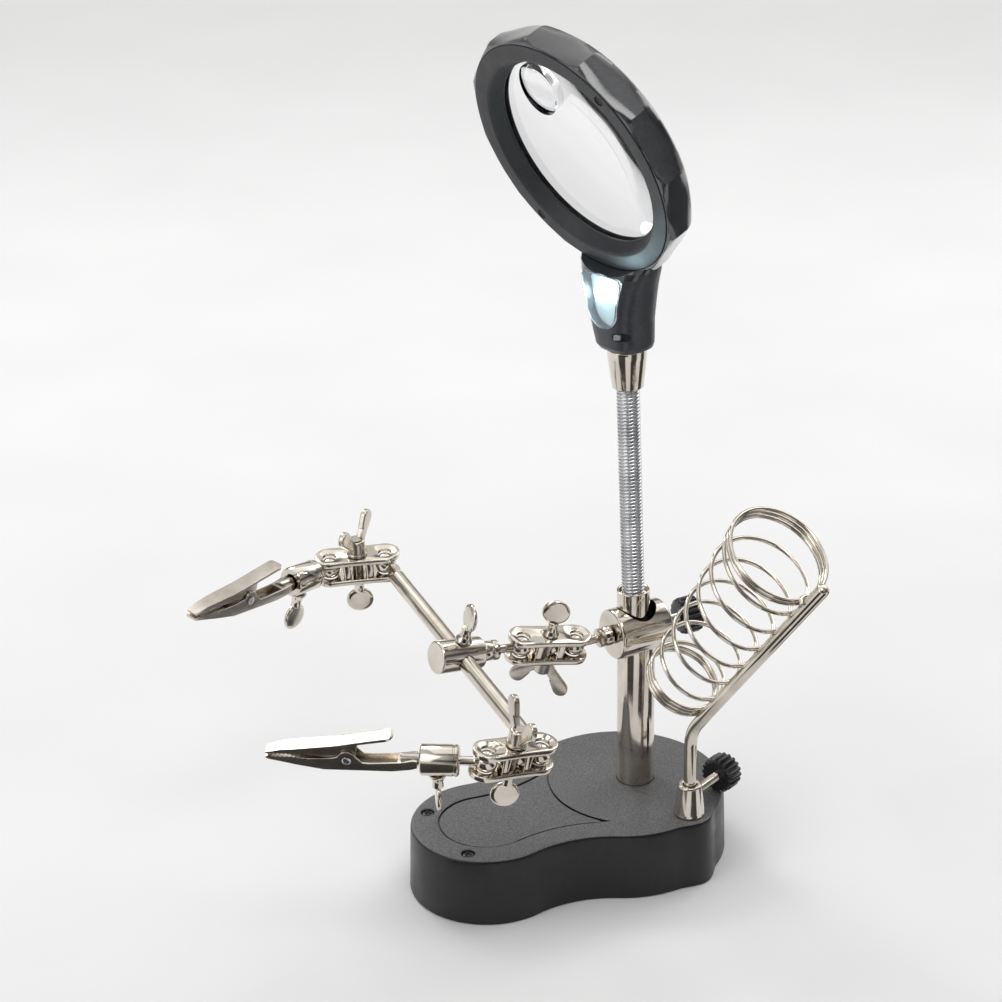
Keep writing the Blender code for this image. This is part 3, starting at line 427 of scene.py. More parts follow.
def loft(rings):
    made = bmesh.new()
    loops = [[made.verts.new(point) for point in ring] for ring in rings]
    for lower, upper in zip(loops, loops[1:]):
        for i in range(len(lower)):
            j = (i + 1) % len(lower)
            made.faces.new((lower[i], lower[j], upper[j], upper[i]))
    made.faces.new(reversed(loops[0]))
    made.faces.new(loops[-1])
    return made


def slab(outline_at, start, end, edge, steps=4):
    """An upright solid whose outline is outline_at(inset), with rounded rims."""
    rings = []
    for i in range(steps + 1):
        turn = math.pi / 2 * i / steps
        inset, rise = edge * (1 - math.sin(turn)), edge * (1 - math.cos(turn))
        rings.append([(x, y, start + rise) for x, y in outline_at(inset)])
    for i in range(steps + 1):
        turn = math.pi / 2 * (1 - i / steps)
        inset, rise = edge * (1 - math.sin(turn)), edge * (1 - math.cos(turn))
        rings.append([(x, y, end - rise) for x, y in outline_at(inset)])
    return loft(rings)


def offset(outline, inset):
    """A closed outline moved inwards along its own normals, for small insets."""
    points = [Vector(p) for p in outline]
    count = len(points)
    area = sum(points[i - 1].cross(points[i]) for i in range(count))
    sign = 1 if area > 0 else -1
    made = []
    for i in range(count):
        before = (points[i] - points[i - 1]).normalized()
        after = (points[(i + 1) % count] - points[i]).normalized()
        inward = sign * Vector((-(before.y + after.y), before.x + after.x))
        scale = max(inward.length / 2, 0.35)
        made.append(tuple(points[i] + inward.normalized() * inset / scale))
    return made


def plate(outline, start, end, edge=0.3):
    return slab(lambda inset: offset(outline, inset), start, end, edge)


def tube(points, radius, sides):
    """A round bar swept along the points, with domed ends."""
    points = [Vector(p) for p in points]
    tangents = []
    for i in range(len(points)):
        tangents.append((points[min(i + 1, len(points) - 1)] - points[max(i - 1, 0)]).normalized())
    normal = tangents[0].orthogonal().normalized()
    rings = []
    turns = [2 * math.pi * k / sides for k in range(sides)]
    for point, tangent in zip(points, tangents):
        normal = (normal - normal.dot(tangent) * tangent).normalized()
        side = tangent.cross(normal)
        rings.append([point + radius * (math.cos(a) * normal + math.sin(a) * side) for a in turns])

    def dome(ring, centre, out):
        shrunk = []
        for turn in (0.5, 1.0, 1.35):
            size, rise = math.cos(turn), math.sin(turn)
            shrunk.append([centre + (p - centre) * size + out * radius * 0.6 * rise for p in ring])
        return shrunk

    first = dome(rings[0], points[0], -tangents[0])[::-1]
    last = dome(rings[-1], points[-1], tangents[-1])
    return loft([*first, *rings, *last])


def moved(mesh, place):
    mesh.transform(place)
    return mesh


def side_view(outline, width, edge=0.25):
    """A side view in X and Z, drawn out to a width in Y."""
    return moved(plate(outline, -width / 2, width / 2, edge), turned(90, "X"))


def temporary(mesh):
    data = bpy.data.meshes.new("temporary")
    bmesh.ops.recalc_face_normals(mesh, faces=mesh.faces)
    mesh.to_mesh(data)
    mesh.free()
    return in_scene("temporary", data)


def combined(mesh, operation, *tools):
    target = temporary(mesh)
    others = [temporary(tool) for tool in tools]
    for other in others:
        modifier = target.modifiers.new("combine", "BOOLEAN")
        modifier.operation = operation
        modifier.solver = "MANIFOLD"
        modifier.object = other
    bpy.context.view_layer.update()
    evaluated = target.evaluated_get(bpy.context.evaluated_depsgraph_get())
    made = bmesh.new()
    made.from_mesh(evaluated.to_mesh())
    evaluated.to_mesh_clear()
    for obj in (target, *others):
        data = obj.data
        bpy.data.objects.remove(obj)
        bpy.data.meshes.remove(data)
    return made


def cut(mesh, *tools):
    return combined(mesh, "DIFFERENCE", *tools)


def fused(mesh, *tools):
    return combined(mesh, "UNION", *tools)


def drill(start, end, radius, chamfer, sides=48):
    """A cutter along Z whose two mouths flare, for a hole from start to end."""
    mouth, past = radius + chamfer + 3, 3
    lower = [(0, start - past), (mouth, start - past), (radius, start + chamfer)]
    upper = [(radius, end - chamfer), (mouth, end + past), (0, end + past)]
    return revolve(lower + upper, sides)


def placed(name, mesh, finish, body, place=None, nodes=(), angle=38):
    """The mesh as a piece of the model, riding on its body in place of its CAD nodes."""
    if place:
        mesh.transform(place)
    mesh.transform(Matrix.Scale(MM, 4))
    bmesh.ops.remove_doubles(mesh, verts=mesh.verts, dist=1e-7)
    bmesh.ops.recalc_face_normals(mesh, faces=mesh.faces)
    data = bpy.data.meshes.new(name)
    mesh.to_mesh(data)
    mesh.free()
    data.materials.append(FINISHES[finish])
    data.shade_smooth()
    data.set_sharp_from_angle(angle=math.radians(angle))
    made = in_scene(name, data)
    if body:
        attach(made, body)
    if nodes:
        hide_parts(*nodes)
    return made


def stands_for(node, mesh, finish, body, place=None, angle=38):
    return placed(f"{node}_detailed", mesh, finish, body, place, (node,), angle)


def second_finish(piece, finish, chosen):
    """Puts the finish on each face that is chosen by its centre, in millimetres, and its normal."""
    piece.data.materials.append(FINISHES[finish])
    for polygon in piece.data.polygons:
        if chosen(polygon.center / MM, polygon.normal):
            polygon.material_index = 1


def rectangle(half_x, half_y):
    return [(-half_x, -half_y), (half_x, -half_y), (half_x, half_y), (-half_x, half_y)]


# Base


def waist_centre():
    span = COLUMN_LOBE["x"] - TRAY_LOBE["x"]
    to_tray = TRAY_LOBE["radius"] + WAIST_RADIUS
    to_column = COLUMN_LOBE["radius"] + WAIST_RADIUS
    along = (to_tray**2 - to_column**2 + span**2) / (2 * span)
    return TRAY_LOBE["x"] + along, math.sqrt(to_tray**2 - along**2)


def column_lobe(limit, inset):
    middle = math.atan2(REST_AT[1], REST_AT[0] - COLUMN_LOBE["x"])
    half = math.radians(BULGE_SPREAD)
    spans = ((-limit, middle - half, 16), (middle - half, middle + half, 30), (middle + half, limit, 64))
    points = []
    for start, end, count in spans:
        for i in range(count):
            angle = start + (end - start) * i / count
            off = min(abs(angle - middle) / half, 1)
            swell = BULGE * math.cos(math.pi / 2 * off) ** 2
            points.append((angle, COLUMN_LOBE["radius"] - inset + swell))
    return [*points, (limit, COLUMN_LOBE["radius"] - inset)]


def base_outline(inset):
    waist_x, waist_y = waist_centre()
    column_angle = math.degrees(math.atan2(waist_y, waist_x - COLUMN_LOBE["x"]))
    tray_angle = math.degrees(math.atan2(waist_y, waist_x - TRAY_LOBE["x"]))
    column = [
        (COLUMN_LOBE["x"] + reach * math.cos(angle), reach * math.sin(angle))
        for angle, reach in column_lobe(math.radians(column_angle), inset)
    ]
    upper = arc((waist_x, waist_y), WAIST_RADIUS + inset, column_angle - 180, tray_angle - 180, 32)
    tray = arc((TRAY_LOBE["x"], 0), TRAY_LOBE["radius"] - inset, tray_angle, 360 - tray_angle, 90)
    lower = arc((waist_x, -waist_y), WAIST_RADIUS + inset, 180 - tray_angle, 180 - column_angle, 32)
    return column + upper[1:-1] + tray + lower[1:-1]


def tray_outline(inset):
    inner = [
        point
        for point in base_outline(TRAY_INSET + inset)
        if point[0] < COLUMN_X and math.dist(point, (COLUMN_X, 0)) > TRAY_END_RADIUS + inset + 0.5
    ]
    last, first = inner[-1], inner[0]
    start = math.degrees(math.atan2(last[1], last[0] - COLUMN_X)) % 360
    end = math.degrees(math.atan2(first[1], first[0] - COLUMN_X)) % 360
    return inner + arc((COLUMN_X, 0), TRAY_END_RADIUS + inset, start, end, 40)[1:-1]


def base_layer(inset, z):
    return [(x, y, z) for x, y in base_outline(inset)]


def upright(outline, low, high):
    return loft([[(x, y, z) for x, y in outline] for z in (low, high)])


def resampled(points, count):
    """The closed outline as count points, equally spaced along it."""
    points = [Vector(p) for p in points]
    lengths = [(points[(i + 1) % len(points)] - p).length for i, p in enumerate(points)]
    total = sum(lengths)
    made, i, walked = [], 0, 0.0
    for k in range(count):
        target = total * k / count
        while walked + lengths[i] < target:
            walked += lengths[i]
            i += 1
        t = (target - walked) / lengths[i]
        made.append(tuple(points[i].lerp(points[(i + 1) % len(points)], t)))
    return made


def flared_tray(low, high, flare):
    """The tray's outline as a cutter, opening out by the flare over its last stretch below the base's top."""
    count = 480
    inner = resampled(tray_outline(0), count)
    outer = resampled(tray_outline(-flare), count)
    nearest = min(range(count), key=lambda i: math.dist(outer[i], inner[0]))
    outer = outer[nearest:] + outer[:nearest]
    layers = ((inner, low), (inner, BASE_HEIGHT - flare * 0.6), (outer, BASE_HEIGHT), (outer, high))
    return loft([[(x, y, z) for x, y in outline] for outline, z in layers])


def make_base():
    sides = [(0.7, 0.25), (0.2, 0.4), (0, 0.9), (BASE_DRAFT * 0.9, 28.0)]
    rim = [(0, 28.8), (0.12, 29.35), (0.4, 29.85), (0.8, 30.12), (1.3, BASE_HEIGHT)]
    layers = sides + [(BASE_DRAFT + inset, z) for inset, z in rim]
    shell = loft([base_layer(*layer) for layer in layers])
    ceiling = BASE_HEIGHT - BASE_WALL
    hollow = loft([base_layer(BASE_WALL, -1), base_layer(BASE_WALL + BASE_DRAFT, ceiling)])
    radius = COLUMN_BORE - 0.1
    bore = moved(revolve([(0, 20), (radius, 20), (radius, 31), (0, 31)]), shifted(COLUMN_X))
    sink = [(0, 28.8), (2.9, 28.8), (2.9, 29.8), (3.6, 30.6), (0, 30.6)]
    sinks = [moved(revolve(sink, 40), shifted(x, y)) for x, y in TRAY_SCREW_AT]
    floor = BASE_HEIGHT - TRAY_DEPTH
    shell = cut(shell, hollow, bore, flared_tray(floor - 0.9, BASE_HEIGHT + 1, 0.6), *sinks)
    shell = fused(shell, upright(tray_outline(0.9), floor - 1.8, floor))
    made = stands_for("base_shell", shell, "side", "base", angle=30)
    # The upward faces of the top take the grained finish, whose grey is a painted sheen of the light on the
    # top.
    second_finish(made, "base", lambda centre, normal: normal.z > 0.6 and centre.z > 28)

    for index, (x, y) in enumerate(TRAY_SCREW_AT, 1):
        screw = screw_head(2.5, 0.9, 1.9)
        stands_for(f"tray_screw_{index}", screw, "knob", "base", shifted(x, y, 29.1) @ turned(35))


def screw_head(radius, height, slot):
    """A low domed head, foot on z = 0, with a cross recess."""
    foot = height * 0.45
    profile = [(0, 0), (radius, 0), (radius, foot), (radius * 0.8, height * 0.82), (0, height)]
    bars = []
    for half_width, turn in ((0.32, 0), (0.3, 90)):
        bars.append(moved(plate(rectangle(slot, half_width), foot, height + 1, 0.02), turned(turn)))
    return cut(lathe(profile, height * 0.3, 40), *bars)


def make_column():
    outer, inner = COLUMN_RADIUS, COLUMN_RADIUS - 1.2
    profile = [(outer, 4), (outer, COLUMN_TOP), (inner, COLUMN_TOP), (inner, 4)]
    pipe = lathe(profile, 0.35, 96, closed=True)
    stands_for("column_tube", pipe, "nickel", "base", shifted(COLUMN_X))


# Fasteners and ball joints


def knob_mesh(start):
    """A grip with deep rounded flutes, a rim and a dished face."""
    flutes, per_flute = 18, 10
    count = flutes * per_flute

    def ring(radius, depth, z):
        points = []
        for i in range(count):
            angle = 2 * math.pi * i / count
            wave = 0.5 + 0.5 * math.cos(flutes * angle)
            reach = radius - depth * wave**1.6
            points.append((reach * math.cos(angle), reach * math.sin(angle), z))
        return points

    end = start + KNOB_LENGTH
    full = KNOB_RADIUS - 0.08
    layers = (
        (3.0, 0, start),
        (full - 2.4, 0, start),
        (full - 1.2, 0.5, start + 0.15),
        (full - 0.4, 0.9, start + 0.6),
        (full, 1.05, start + 1.5),
        (full, 1.05, end - 1.3),
        (full - 0.35, 0.95, end - 0.5),
        (full - 1.1, 0.6, end - 0.08),
        (full - 2.0, 0, end),
        (full - 2.9, 0, end - 0.15),
        (full - 3.2, 0, end - 0.8),
        (2.6, 0, end - 0.9),
        (2.3, 0, end - 0.35),
        (1.0, 0, end - 0.25),
    )
    return loft([ring(*layer) for layer in layers])


def knob_screw(node, start, knob_start, body, place):
    knob = fused(knob_mesh(knob_start), threaded(start, knob_start + 1.5, 1.9))
    made = stands_for(node, knob, "knob", body, place, 32)
    shaft_end = place @ Vector((0, 0, knob_start - 0.05))
    axis = (place.to_3x3() @ Vector((0, 0, 1))).normalized()
    second_finish(made, "nickel_soft", lambda centre, normal: (centre - shaft_end).dot(axis) < 0)


def paddle_mesh(start):
    """A thumbscrew's waisted foot and flat round head, standing on z = start."""
    foot = [(0, 0), (3.6, 0), (3.5, 0.9), (2.5, 2.4), (2.1, 4.2), (2.3, 6.6), (0, 6.6)]
    foot_mesh = lathe([(radius, start + z) for radius, z in foot], 0.5)
    full, half = PADDLE_RADIUS, PADDLE_THICKNESS / 2
    face = [(0, half), (full - 1.4, half - 0.12), (full - 0.5, half - 0.32), (full, half - 0.8)]
    disc = lathe([(r, -z) for r, z in face] + face[::-1], 0.3)
    centre = start + 5.5 + full
    return fused(foot_mesh, moved(disc, shifted(0, 0, centre) @ turned(90, "X")))


def thumbscrew(node, start, foot, body, place, radius=CLAMP_SCREW_RADIUS):
    screw = fused(threaded(start, foot + 0.8, radius), paddle_mesh(foot))
    stands_for(node, screw, "nickel", body, place, angle=42)


def wing_outline():
    """One wing's face: narrow at its root and round at its end."""
    left = [(-2.5, 10.5), (-2.0, 6.5), (-2.4, 2.6)]
    return [*arc((0, 15.6), 3.3, -10, 190, 17), *left, *((-x, y) for x, y in reversed(left))]


def wing_nut(node, body, place):
    hub = [(0, 0), (4.4, 0), (4.4, 0.9), (3.9, 1.3), (3.7, 6.4), (3.2, 7), (0, 7)]
    made = lathe(hub, 0.4, 48)
    wings = []
    for side in (1, -1):
        wing = plate(softened(wing_outline(), 0.8, closed=True), -1.3, 1.3, 0.6)
        wings.append(moved(wing, shifted(0, 0, 0.5) @ turned(38 * side, "Y") @ turned(90, "X")))
    made = cut(fused(made, *wings), drill(-0.1, 7.1, CLAMP_SCREW_RADIUS + HOLE_GAP, 0.35, 40))
    stands_for(node, made, "nickel_soft", body, place, angle=42)


def clamp_plate(start, end):
    half = BALL_SPACING / 2

    def outline(inset):
        radius = PLATE_RADIUS - inset
        waist = [(half * (1 - 2 * i / 12), -radius + 0.35 * math.sin(math.pi * i / 12)) for i in range(1, 12)]
        return (
            arc((half, 0), radius, -90, 90, 25)
            + [(x, -y) for x, y in waist]
            + arc((-half, 0), radius, 90, 270, 25)
            + [(-x, y) for x, y in waist]
        )

    return slab(outline, start, end, 0.55)


def plate_cutters(start, end, outward):
    """The screw's hole, and at each ball a hole with a dish sunk in the plate's outward face."""
    cutters = [drill(start, end, CLAMP_SCREW_RADIUS + HOLE_GAP, 0.25)]
    face = end if outward > 0 else start
    dish = [(0, 1), (4.6, 1), (4.6, 0.0001), (3.3, -0.7), (0, -0.7)]
    for side in (1, -1):
        at_ball = shifted(side * BALL_SPACING / 2)
        cutters.append(moved(drill(start, end, BALL_HOLE, 0.35), at_ball))
        cutters.append(moved(revolve([(r, face + z * outward) for r, z in dish], 48), at_ball))
    return cutters


def ball_clamp(letter, origin, aim, roll, nut_side, nut_turn, paddle_turn):
    place = frame_at(origin, heading(*aim), rolled(roll))
    middle = place @ shifted(BALL_SPACING / 2)
    body = f"clamp_{letter}"
    upper = cut(clamp_plate(PLATE_INNER, PLATE_OUTER), *plate_cutters(PLATE_INNER, PLATE_OUTER, 1))
    stands_for(f"{body}_upper_plate", upper, "nickel", body, middle)
    lower = clamp_plate(-PLATE_OUTER, -PLATE_INNER)
    lugs = []
    for side in (1, -1):
        lug = softened(rectangle(1.75, 4.8), 1.2, closed=True)
        lugs.append(moved(plate(lug, -PLATE_INNER - 1, PLATE_INNER - 0.3, 0.3), shifted(side * 4.75)))
    lower = cut(fused(lower, *lugs), *plate_cutters(-PLATE_OUTER, -PLATE_INNER, -1))
    stands_for(f"{body}_lower_plate", lower, "nickel", body, middle)

    nut_up = turned(0) if nut_side > 0 else turned(180, "X")
    paddle_up = turned(180, "X") if nut_side > 0 else turned(0)
    seat = PLATE_OUTER + GAP
    thumbscrew(f"{body}_screw", CLAMP_SCREW_END, seat, body, middle @ paddle_up @ turned(paddle_turn))
    wing_nut(f"{body}_wing_nut", f"{body}_nut", middle @ nut_up @ turned(nut_turn) @ shifted(0, 0, seat))
    return middle @ Vector((BALL_SPACING / 2, 0, 0))


def ball_profile(neck_end, neck=NECK_RADIUS):
    """From a ball's far side round and out along its neck."""
    touch = math.degrees(math.acos(neck / BALL_RADIUS))
    ball = arc((0, 0), BALL_RADIUS, -90, touch - 6, 26)
    ball[0] = (0, -BALL_RADIUS)
    reach = math.sqrt(BALL_RADIUS**2 - neck**2)
    return [*ball, (neck + 0.12, reach + 0.25), (neck, reach + 0.8), (neck, neck_end)]


# Arm


def make_collar():
    place = frame_at((COLUMN_X, 0, COLLAR_Z), (1, 0, 0), (0, 0, 1))
    half = COLLAR_LENGTH / 2
    rim = [(0, -half), (COLLAR_RADIUS, -half), (COLLAR_RADIUS, half), (0, half)]
    collar = moved(lathe(rim, 1.3, 96, 5), ALONG_X)
    down = round_hole(-20, 20, COLUMN_BORE + 0.05, 96)
    screw_hole = [(0, 5), (2.2, 5), (2.2, half - 0.5), (3.0, half + 0.5), (0, half + 0.5)]
    stud_hole = [(0, -half - 0.5), (3.6, -half - 0.5), (2.9, -half + 0.4), (2.9, -5), (0, -5)]
    holes = [moved(revolve(profile, 48), ALONG_X) for profile in (screw_hole, stud_hole)]
    stands_for("collar", cut(collar, down, *holes), "nickel", "collar", place, angle=45)
    knob_screw("collar_knob", COLUMN_RADIUS + GAP, COLLAR_KNOB_START, "collar_knob", place @ ALONG_X)

    ball_place = frame_at((COLUMN_X - STUD_LENGTH, 0, COLLAR_Z), (1, 0, 0), (0, 0, 1))
    flange = [(3.2, 11), (4.1, 11.6), (4.1, 13.1), (3.7, 13.5), (3.7, 14.1), (4.1, 14.5), (4.1, 17.2)]
    stud = revolve([*ball_profile(10.8), *flange, (3.6, 17.6), (2.6, 17.8), (2.6, 21), (0, 21)])
    stands_for("collar_ball_stud", stud, "nickel", "collar_ball", ball_place @ ALONG_X, angle=45)
    return ball_place.translation


def make_barrel(ball_centre):
    place = frame_at(ball_centre, heading(*BARREL_AIM), (0, 0, 1)) @ turned(-CROSSBAR_DROP, "X")
    end = BARREL_START - GAP
    flange = [(3.4, 12), (4.2, 12.6), (4.2, 14.2), (3.8, 14.6), (3.8, 15.2), (4.2, 15.6), (4.2, end - 0.5)]
    stud = revolve([*ball_profile(11.8), *flange, (3.7, end), (0, end)])
    stands_for("barrel_ball_stud", stud, "nickel", "barrel_stud", place @ ALONG_X, angle=45)

    profile = [(0, BARREL_START), (BARREL_RADIUS, BARREL_START), (BARREL_RADIUS, BARREL_END), (0, BARREL_END)]
    barrel = moved(lathe(profile, 1.0, 72, 4), ALONG_X)
    at_hole = shifted(BARREL_HOLE_AT)
    across = moved(rod(-20, 20, CROSSBAR_RADIUS + HOLE_GAP), at_hole @ turned(90, "X"))
    above = moved(rod(0, 20, CLAMP_SCREW_RADIUS + HOLE_GAP), at_hole)
    stands_for("barrel", cut(barrel, across, above), "nickel", "barrel", place, angle=45)
    screw_place = place @ at_hole @ turned(80)
    thumbscrew("barrel_thumbscrew", CROSSBAR_RADIUS + GAP, BARREL_RADIUS + GAP, "barrel_screw", screw_place)
    return place @ at_hole


def make_crossbar(place):
    start, end = -CROSSBAR_TO["a"] + BAR_INSET, CROSSBAR_TO["b"] - BAR_INSET
    radius = CROSSBAR_RADIUS
    near = [(0, start - BAR_TAPER), (NECK_RADIUS, start - BAR_TAPER), (radius - 0.3, start - 0.4)]
    far = [(radius - 0.3, end + 0.4), (NECK_RADIUS, end + BAR_TAPER), (0, end + BAR_TAPER)]
    bar = lathe([*near, (radius, start + 0.2), (radius, end - 0.2), *far], 0.3)
    stands_for("crossbar", bar, "nickel", "crossbar", place @ turned(-90, "X"), angle=45)
    centres = {}
    neck_end = BAR_INSET - BAR_TAPER - GAP
    for letter, side in (("a", -1), ("b", 1)):
        name = f"crossbar_ball_{letter}"
        ball_place = place @ shifted(0, side * CROSSBAR_TO[letter])
        ball = revolve([*ball_profile(neck_end), (0, neck_end)])
        stands_for(name, ball, "nickel", name, ball_place @ turned(90 * side, "X"))
        centres[letter] = ball_place.translation
    return centres


# Clips


def teeth(start, end, base, height, count):
    """A saw edge from start to end, as points in X and Z."""
    step = (end - start) / count
    points = []
    for i in range(count):
        points += [(start + step * i, base), (start + step * (i + 0.5), base + height)]
    return [*points, (end, base)]


def trimmed(jaw, origin, rear=None):
    """The jaw cut to its plan: a narrow nose that widens to the pivot and, if rear is given, a round end."""
    tip, pivot, nose = CLIP_TIP - origin, PIVOT_X - origin, 2.6
    widths = [(tip + 1, nose - 0.6), (tip - 1.2, nose), (tip - 12, nose + 0.7), (pivot + 3, 3.6)]
    upper = widths + ([(-60, 3.6)] if rear is None else arc((rear + 3.5, 0), 3.6, 90, 180, 12))
    outline = upper + [(x, -y) for x, y in reversed(upper) if y > 0.01]
    return combined(jaw, "INTERSECT", upright(outline, -30, 30))


def pin_hole():
    return moved(round_hole(-10, 10, PIN_RADIUS + HOLE_GAP), turned(90, "X"))


def lower_jaw(letter, place):
    edge = teeth(CLIP_TIP - 0.6, CLIP_TIP - 16, 1.2, 0.5, 9)
    ear = arc((PIVOT_X, PIVOT_Z), 3.8, 20, 160, 15)
    outline = [(CLIP_TIP, 0.2), (CLIP_TIP, 1.2), *edge, (PIVOT_X + 9, 1.5), (PIVOT_X + 6, 1.7), *ear]
    outline += [(PIVOT_X - 6, -0.2), (44, -0.4), (33, 0.4), (28, 1.4), (26.4, 1.2), (26.4, -2.0), (29, -2.8)]
    outline += [(36, -3.8), (PIVOT_X + 9, -3.8), (CLIP_TIP - 8, -1.1)]
    floor = [(34, -2.8), (PIVOT_X + 8, -2.8), (CLIP_TIP - 9, -0.4), (CLIP_TIP - 3, 0.7)]
    channel = side_view([*floor, (CLIP_TIP - 3, 10), (34, 10)], 5.4, 0.05)
    hole = moved(pin_hole(), shifted(PIVOT_X, 0, PIVOT_Z))
    body = cut(side_view(outline, LOWER_JAW_WIDTH, 0.2), channel, hole)
    tail = moved(rod(CLIP_SCREW_AT - 4, 33, TAIL_RADIUS, 0.4, 48), ALONG_X)
    body = fused(trimmed(body, 0), tail)
    stands_for(f"clip_{letter}_lower_jaw", body, "nickel_soft", f"clip_{letter}", place, angle=32)


def upper_jaw(letter, place):
    """In the pivot's own frame: a narrow nose with teeth, and the long pressed lever."""
    tip, rear = CLIP_TIP - PIVOT_X, -18.0
    top = [(tip - 0.3, 1.3), (tip, 1.6), (tip, 2.2), (tip - 6, 3.9), (4, 6.9), (rear + 4, 10.6)]
    under = [(rear + 1, 11.2), (rear, 10.9), (rear, 10.0), (rear + 2, 9.6), (4, 5.9), (tip - 6, 2.9)]
    lever = trimmed(side_view(top + under, LEVER_WIDTH), PIVOT_X, rear)
    edge = teeth(tip - 16, tip - 1.5, 1.7, -0.5, 9)
    ear = [*edge, (tip - 2, 2.2), (10, 5.2), (8, 6.0), (-4.2, 8.0), *arc((0, 0), 3.3, -180, 0, 17), (7, 1.2)]
    hollow = side_view([(-5, -5), (9, -5), (14, 1.0), (14, 3.6), (4, 5.0), (-5, 6.0)], 3.4, 0.05)
    ears = cut(side_view(ear, UPPER_JAW_WIDTH, 0.15), hollow, pin_hole())
    jaw = fused(lever, ears)
    stands_for(f"clip_{letter}_upper_jaw", jaw, "nickel_soft", f"clip_{letter}_jaw", place, angle=32)


def make_spring(letter, place):
    """Three turns of wire round the pin."""
    turns, steps, width = 3, 24, 2.1
    wire, radius = 0.33, 2.2
    points = []
    for i in range(turns * steps + 1):
        angle = 2 * math.pi * i / steps
        across = -width / 2 + width * i / (turns * steps)
        points.append((radius * math.cos(angle), across, radius * math.sin(angle)))
    stands_for(f"clip_{letter}_spring", tube(points, wire, 10), "steel", f"clip_{letter}", place, 60)


def make_clip(letter, ball_centre, screw_turn):
    place = frame_at(ball_centre, heading(*CLIP_AIM[letter]), rolled(CLAMP_AB_ROLL))
    name = f"clip_{letter}"
    radius, start, end = SOCKET_RADIUS, SOCKET_START, SOCKET_END
    front = [(radius - 0.7, start), (radius, start + 0.6)]
    depth = radius - 0.25
    groove = [(radius, start + 1.6), (depth, start + 1.8), (depth, start + 2.2), (radius, start + 2.4)]
    rim = [*front, *groove, (radius, end - 0.7), (radius - 0.6, end), (0, end)]
    socket = moved(revolve(ball_profile(start - 0.05) + rim), ALONG_X)
    bore = [(0, start + 3), (SOCKET_BORE, start + 3), (SOCKET_BORE, end - 0.5), (SOCKET_BORE + 1.2, end + 0.7)]
    bore = moved(revolve([*bore, (0, end + 0.7)], 48), ALONG_X)
    screw_hole = moved(round_hole(-12, 0, 2.05), shifted(CLIP_SCREW_AT))
    socket = cut(socket, bore, screw_hole)
    stands_for(f"{name}_socket", socket, "nickel", f"{name}_socket", place, angle=42)
    screw_place = place @ shifted(CLIP_SCREW_AT) @ turned(180, "X") @ turned(screw_turn)
    thumbscrew(f"{name}_thumbscrew", TAIL_RADIUS + GAP, radius + GAP, f"{name}_screw", screw_place, 1.8)

    lower_jaw(letter, place)
    at_pin = place @ shifted(PIVOT_X, 0, PIVOT_Z)
    reach, head = LOWER_JAW_WIDTH / 2 + 0.75, PIN_RADIUS + 0.55
    half = [(0, reach), (head * 0.7, reach - 0.05), (head, reach - 0.4), (PIN_RADIUS, reach - 0.45)]
    pin = revolve([(r, -z) for r, z in half] + half[::-1], 32)
    stands_for(f"{name}_pin", pin, "steel", name, at_pin @ turned(90, "X"))
    make_spring(letter, at_pin)
    upper_jaw(letter, at_pin)


def make_arm():
    collar_end = make_collar()
    arm_end = ball_clamp("c", collar_end, CLAMP_C_AIM, CLAMP_C_ROLL, nut_side=-1, nut_turn=34, paddle_turn=-18)
    centres = make_crossbar(make_barrel(arm_end))
    roll = CLAMP_AB_ROLL
    end_a = ball_clamp("a", centres["a"], CLAMP_AIM["a"], roll, nut_side=1, nut_turn=58, paddle_turn=0)
    end_b = ball_clamp("b", centres["b"], CLAMP_AIM["b"], roll, nut_side=1, nut_turn=84, paddle_turn=20)
    make_clip("a", end_a, screw_turn=0)
    make_clip("b", end_b, screw_turn=80)


# Gooseneck


def hose_part(low, high):
    """A stretch of hose, with one helix of ribs wound along it."""
    around = 40
    rows = round((high - low) / HOSE_PITCH * 8)
    rings = []
    for row in range(rows + 1):
        z = low + (high - low) * row / rows
        ring = []
        for i in range(around):
            angle = 2 * math.pi * i / around
            phase = (z - HOSE_BOTTOM) / HOSE_PITCH - i / around
            rib = abs(math.sin(math.pi * phase)) ** 0.8
            reach = HOSE_RADIUS - HOSE_GROOVE * (1 - rib)
            ring.append((reach * math.cos(angle), reach * math.sin(angle), z))
        rings.append(ring)
    return loft(rings)


def make_gooseneck():
    place = leaning()
    foot, sink = COLUMN_TOP + 0.6, HOSE_BOTTOM - 2.5
    sleeve = [(0, foot), (FERRULE_RADIUS, foot), (FERRULE_RADIUS, HOSE_BOTTOM), (5.9, HOSE_BOTTOM), (5.6, sink)]
    stands_for("lower_ferrule", lathe([*sleeve, (0, sink)], 0.45, 72), "nickel", "base", place)

    span = (HOSE_TOP - HOSE_BOTTOM) / 4
    for i in range(4):
        low, high = HOSE_BOTTOM + span * i, HOSE_BOTTOM + span * (i + 1)
        if i == 0:
            low -= HOSE_SEAT
        if i == 3:
            high += HOSE_SEAT
        hose = placed(f"hose_{i + 1}", hose_part(low, high), "steel", None, place, angle=50)
        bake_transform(hose)
        if i < 3:
            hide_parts(f"gooseneck_link_{i + 1}")

    seat, top, rim = HEAD_Z - GAP, FERRULE_TOP_RADIUS, HOSE_TOP + 2.5
    cone = [(0, rim), (5.4, rim), (5.5, HOSE_TOP), (6.4, HOSE_TOP), (top, seat - 3.4), (top, seat), (0, seat)]
    notch = moved(plate([(-1.7, -1.2), (1.7, -1.2), (1.7, 2), (-1.7, 2)], 6.6, 10, 0.1), ACROSS)
    notch = moved(notch, shifted(0, 0, seat) @ turned(180 + SWITCH_TURN + HEAD_YAW))
    stands_for("upper_ferrule", cut(lathe(cone, 0.4, 72), notch), "nickel", "head", place)


# Head


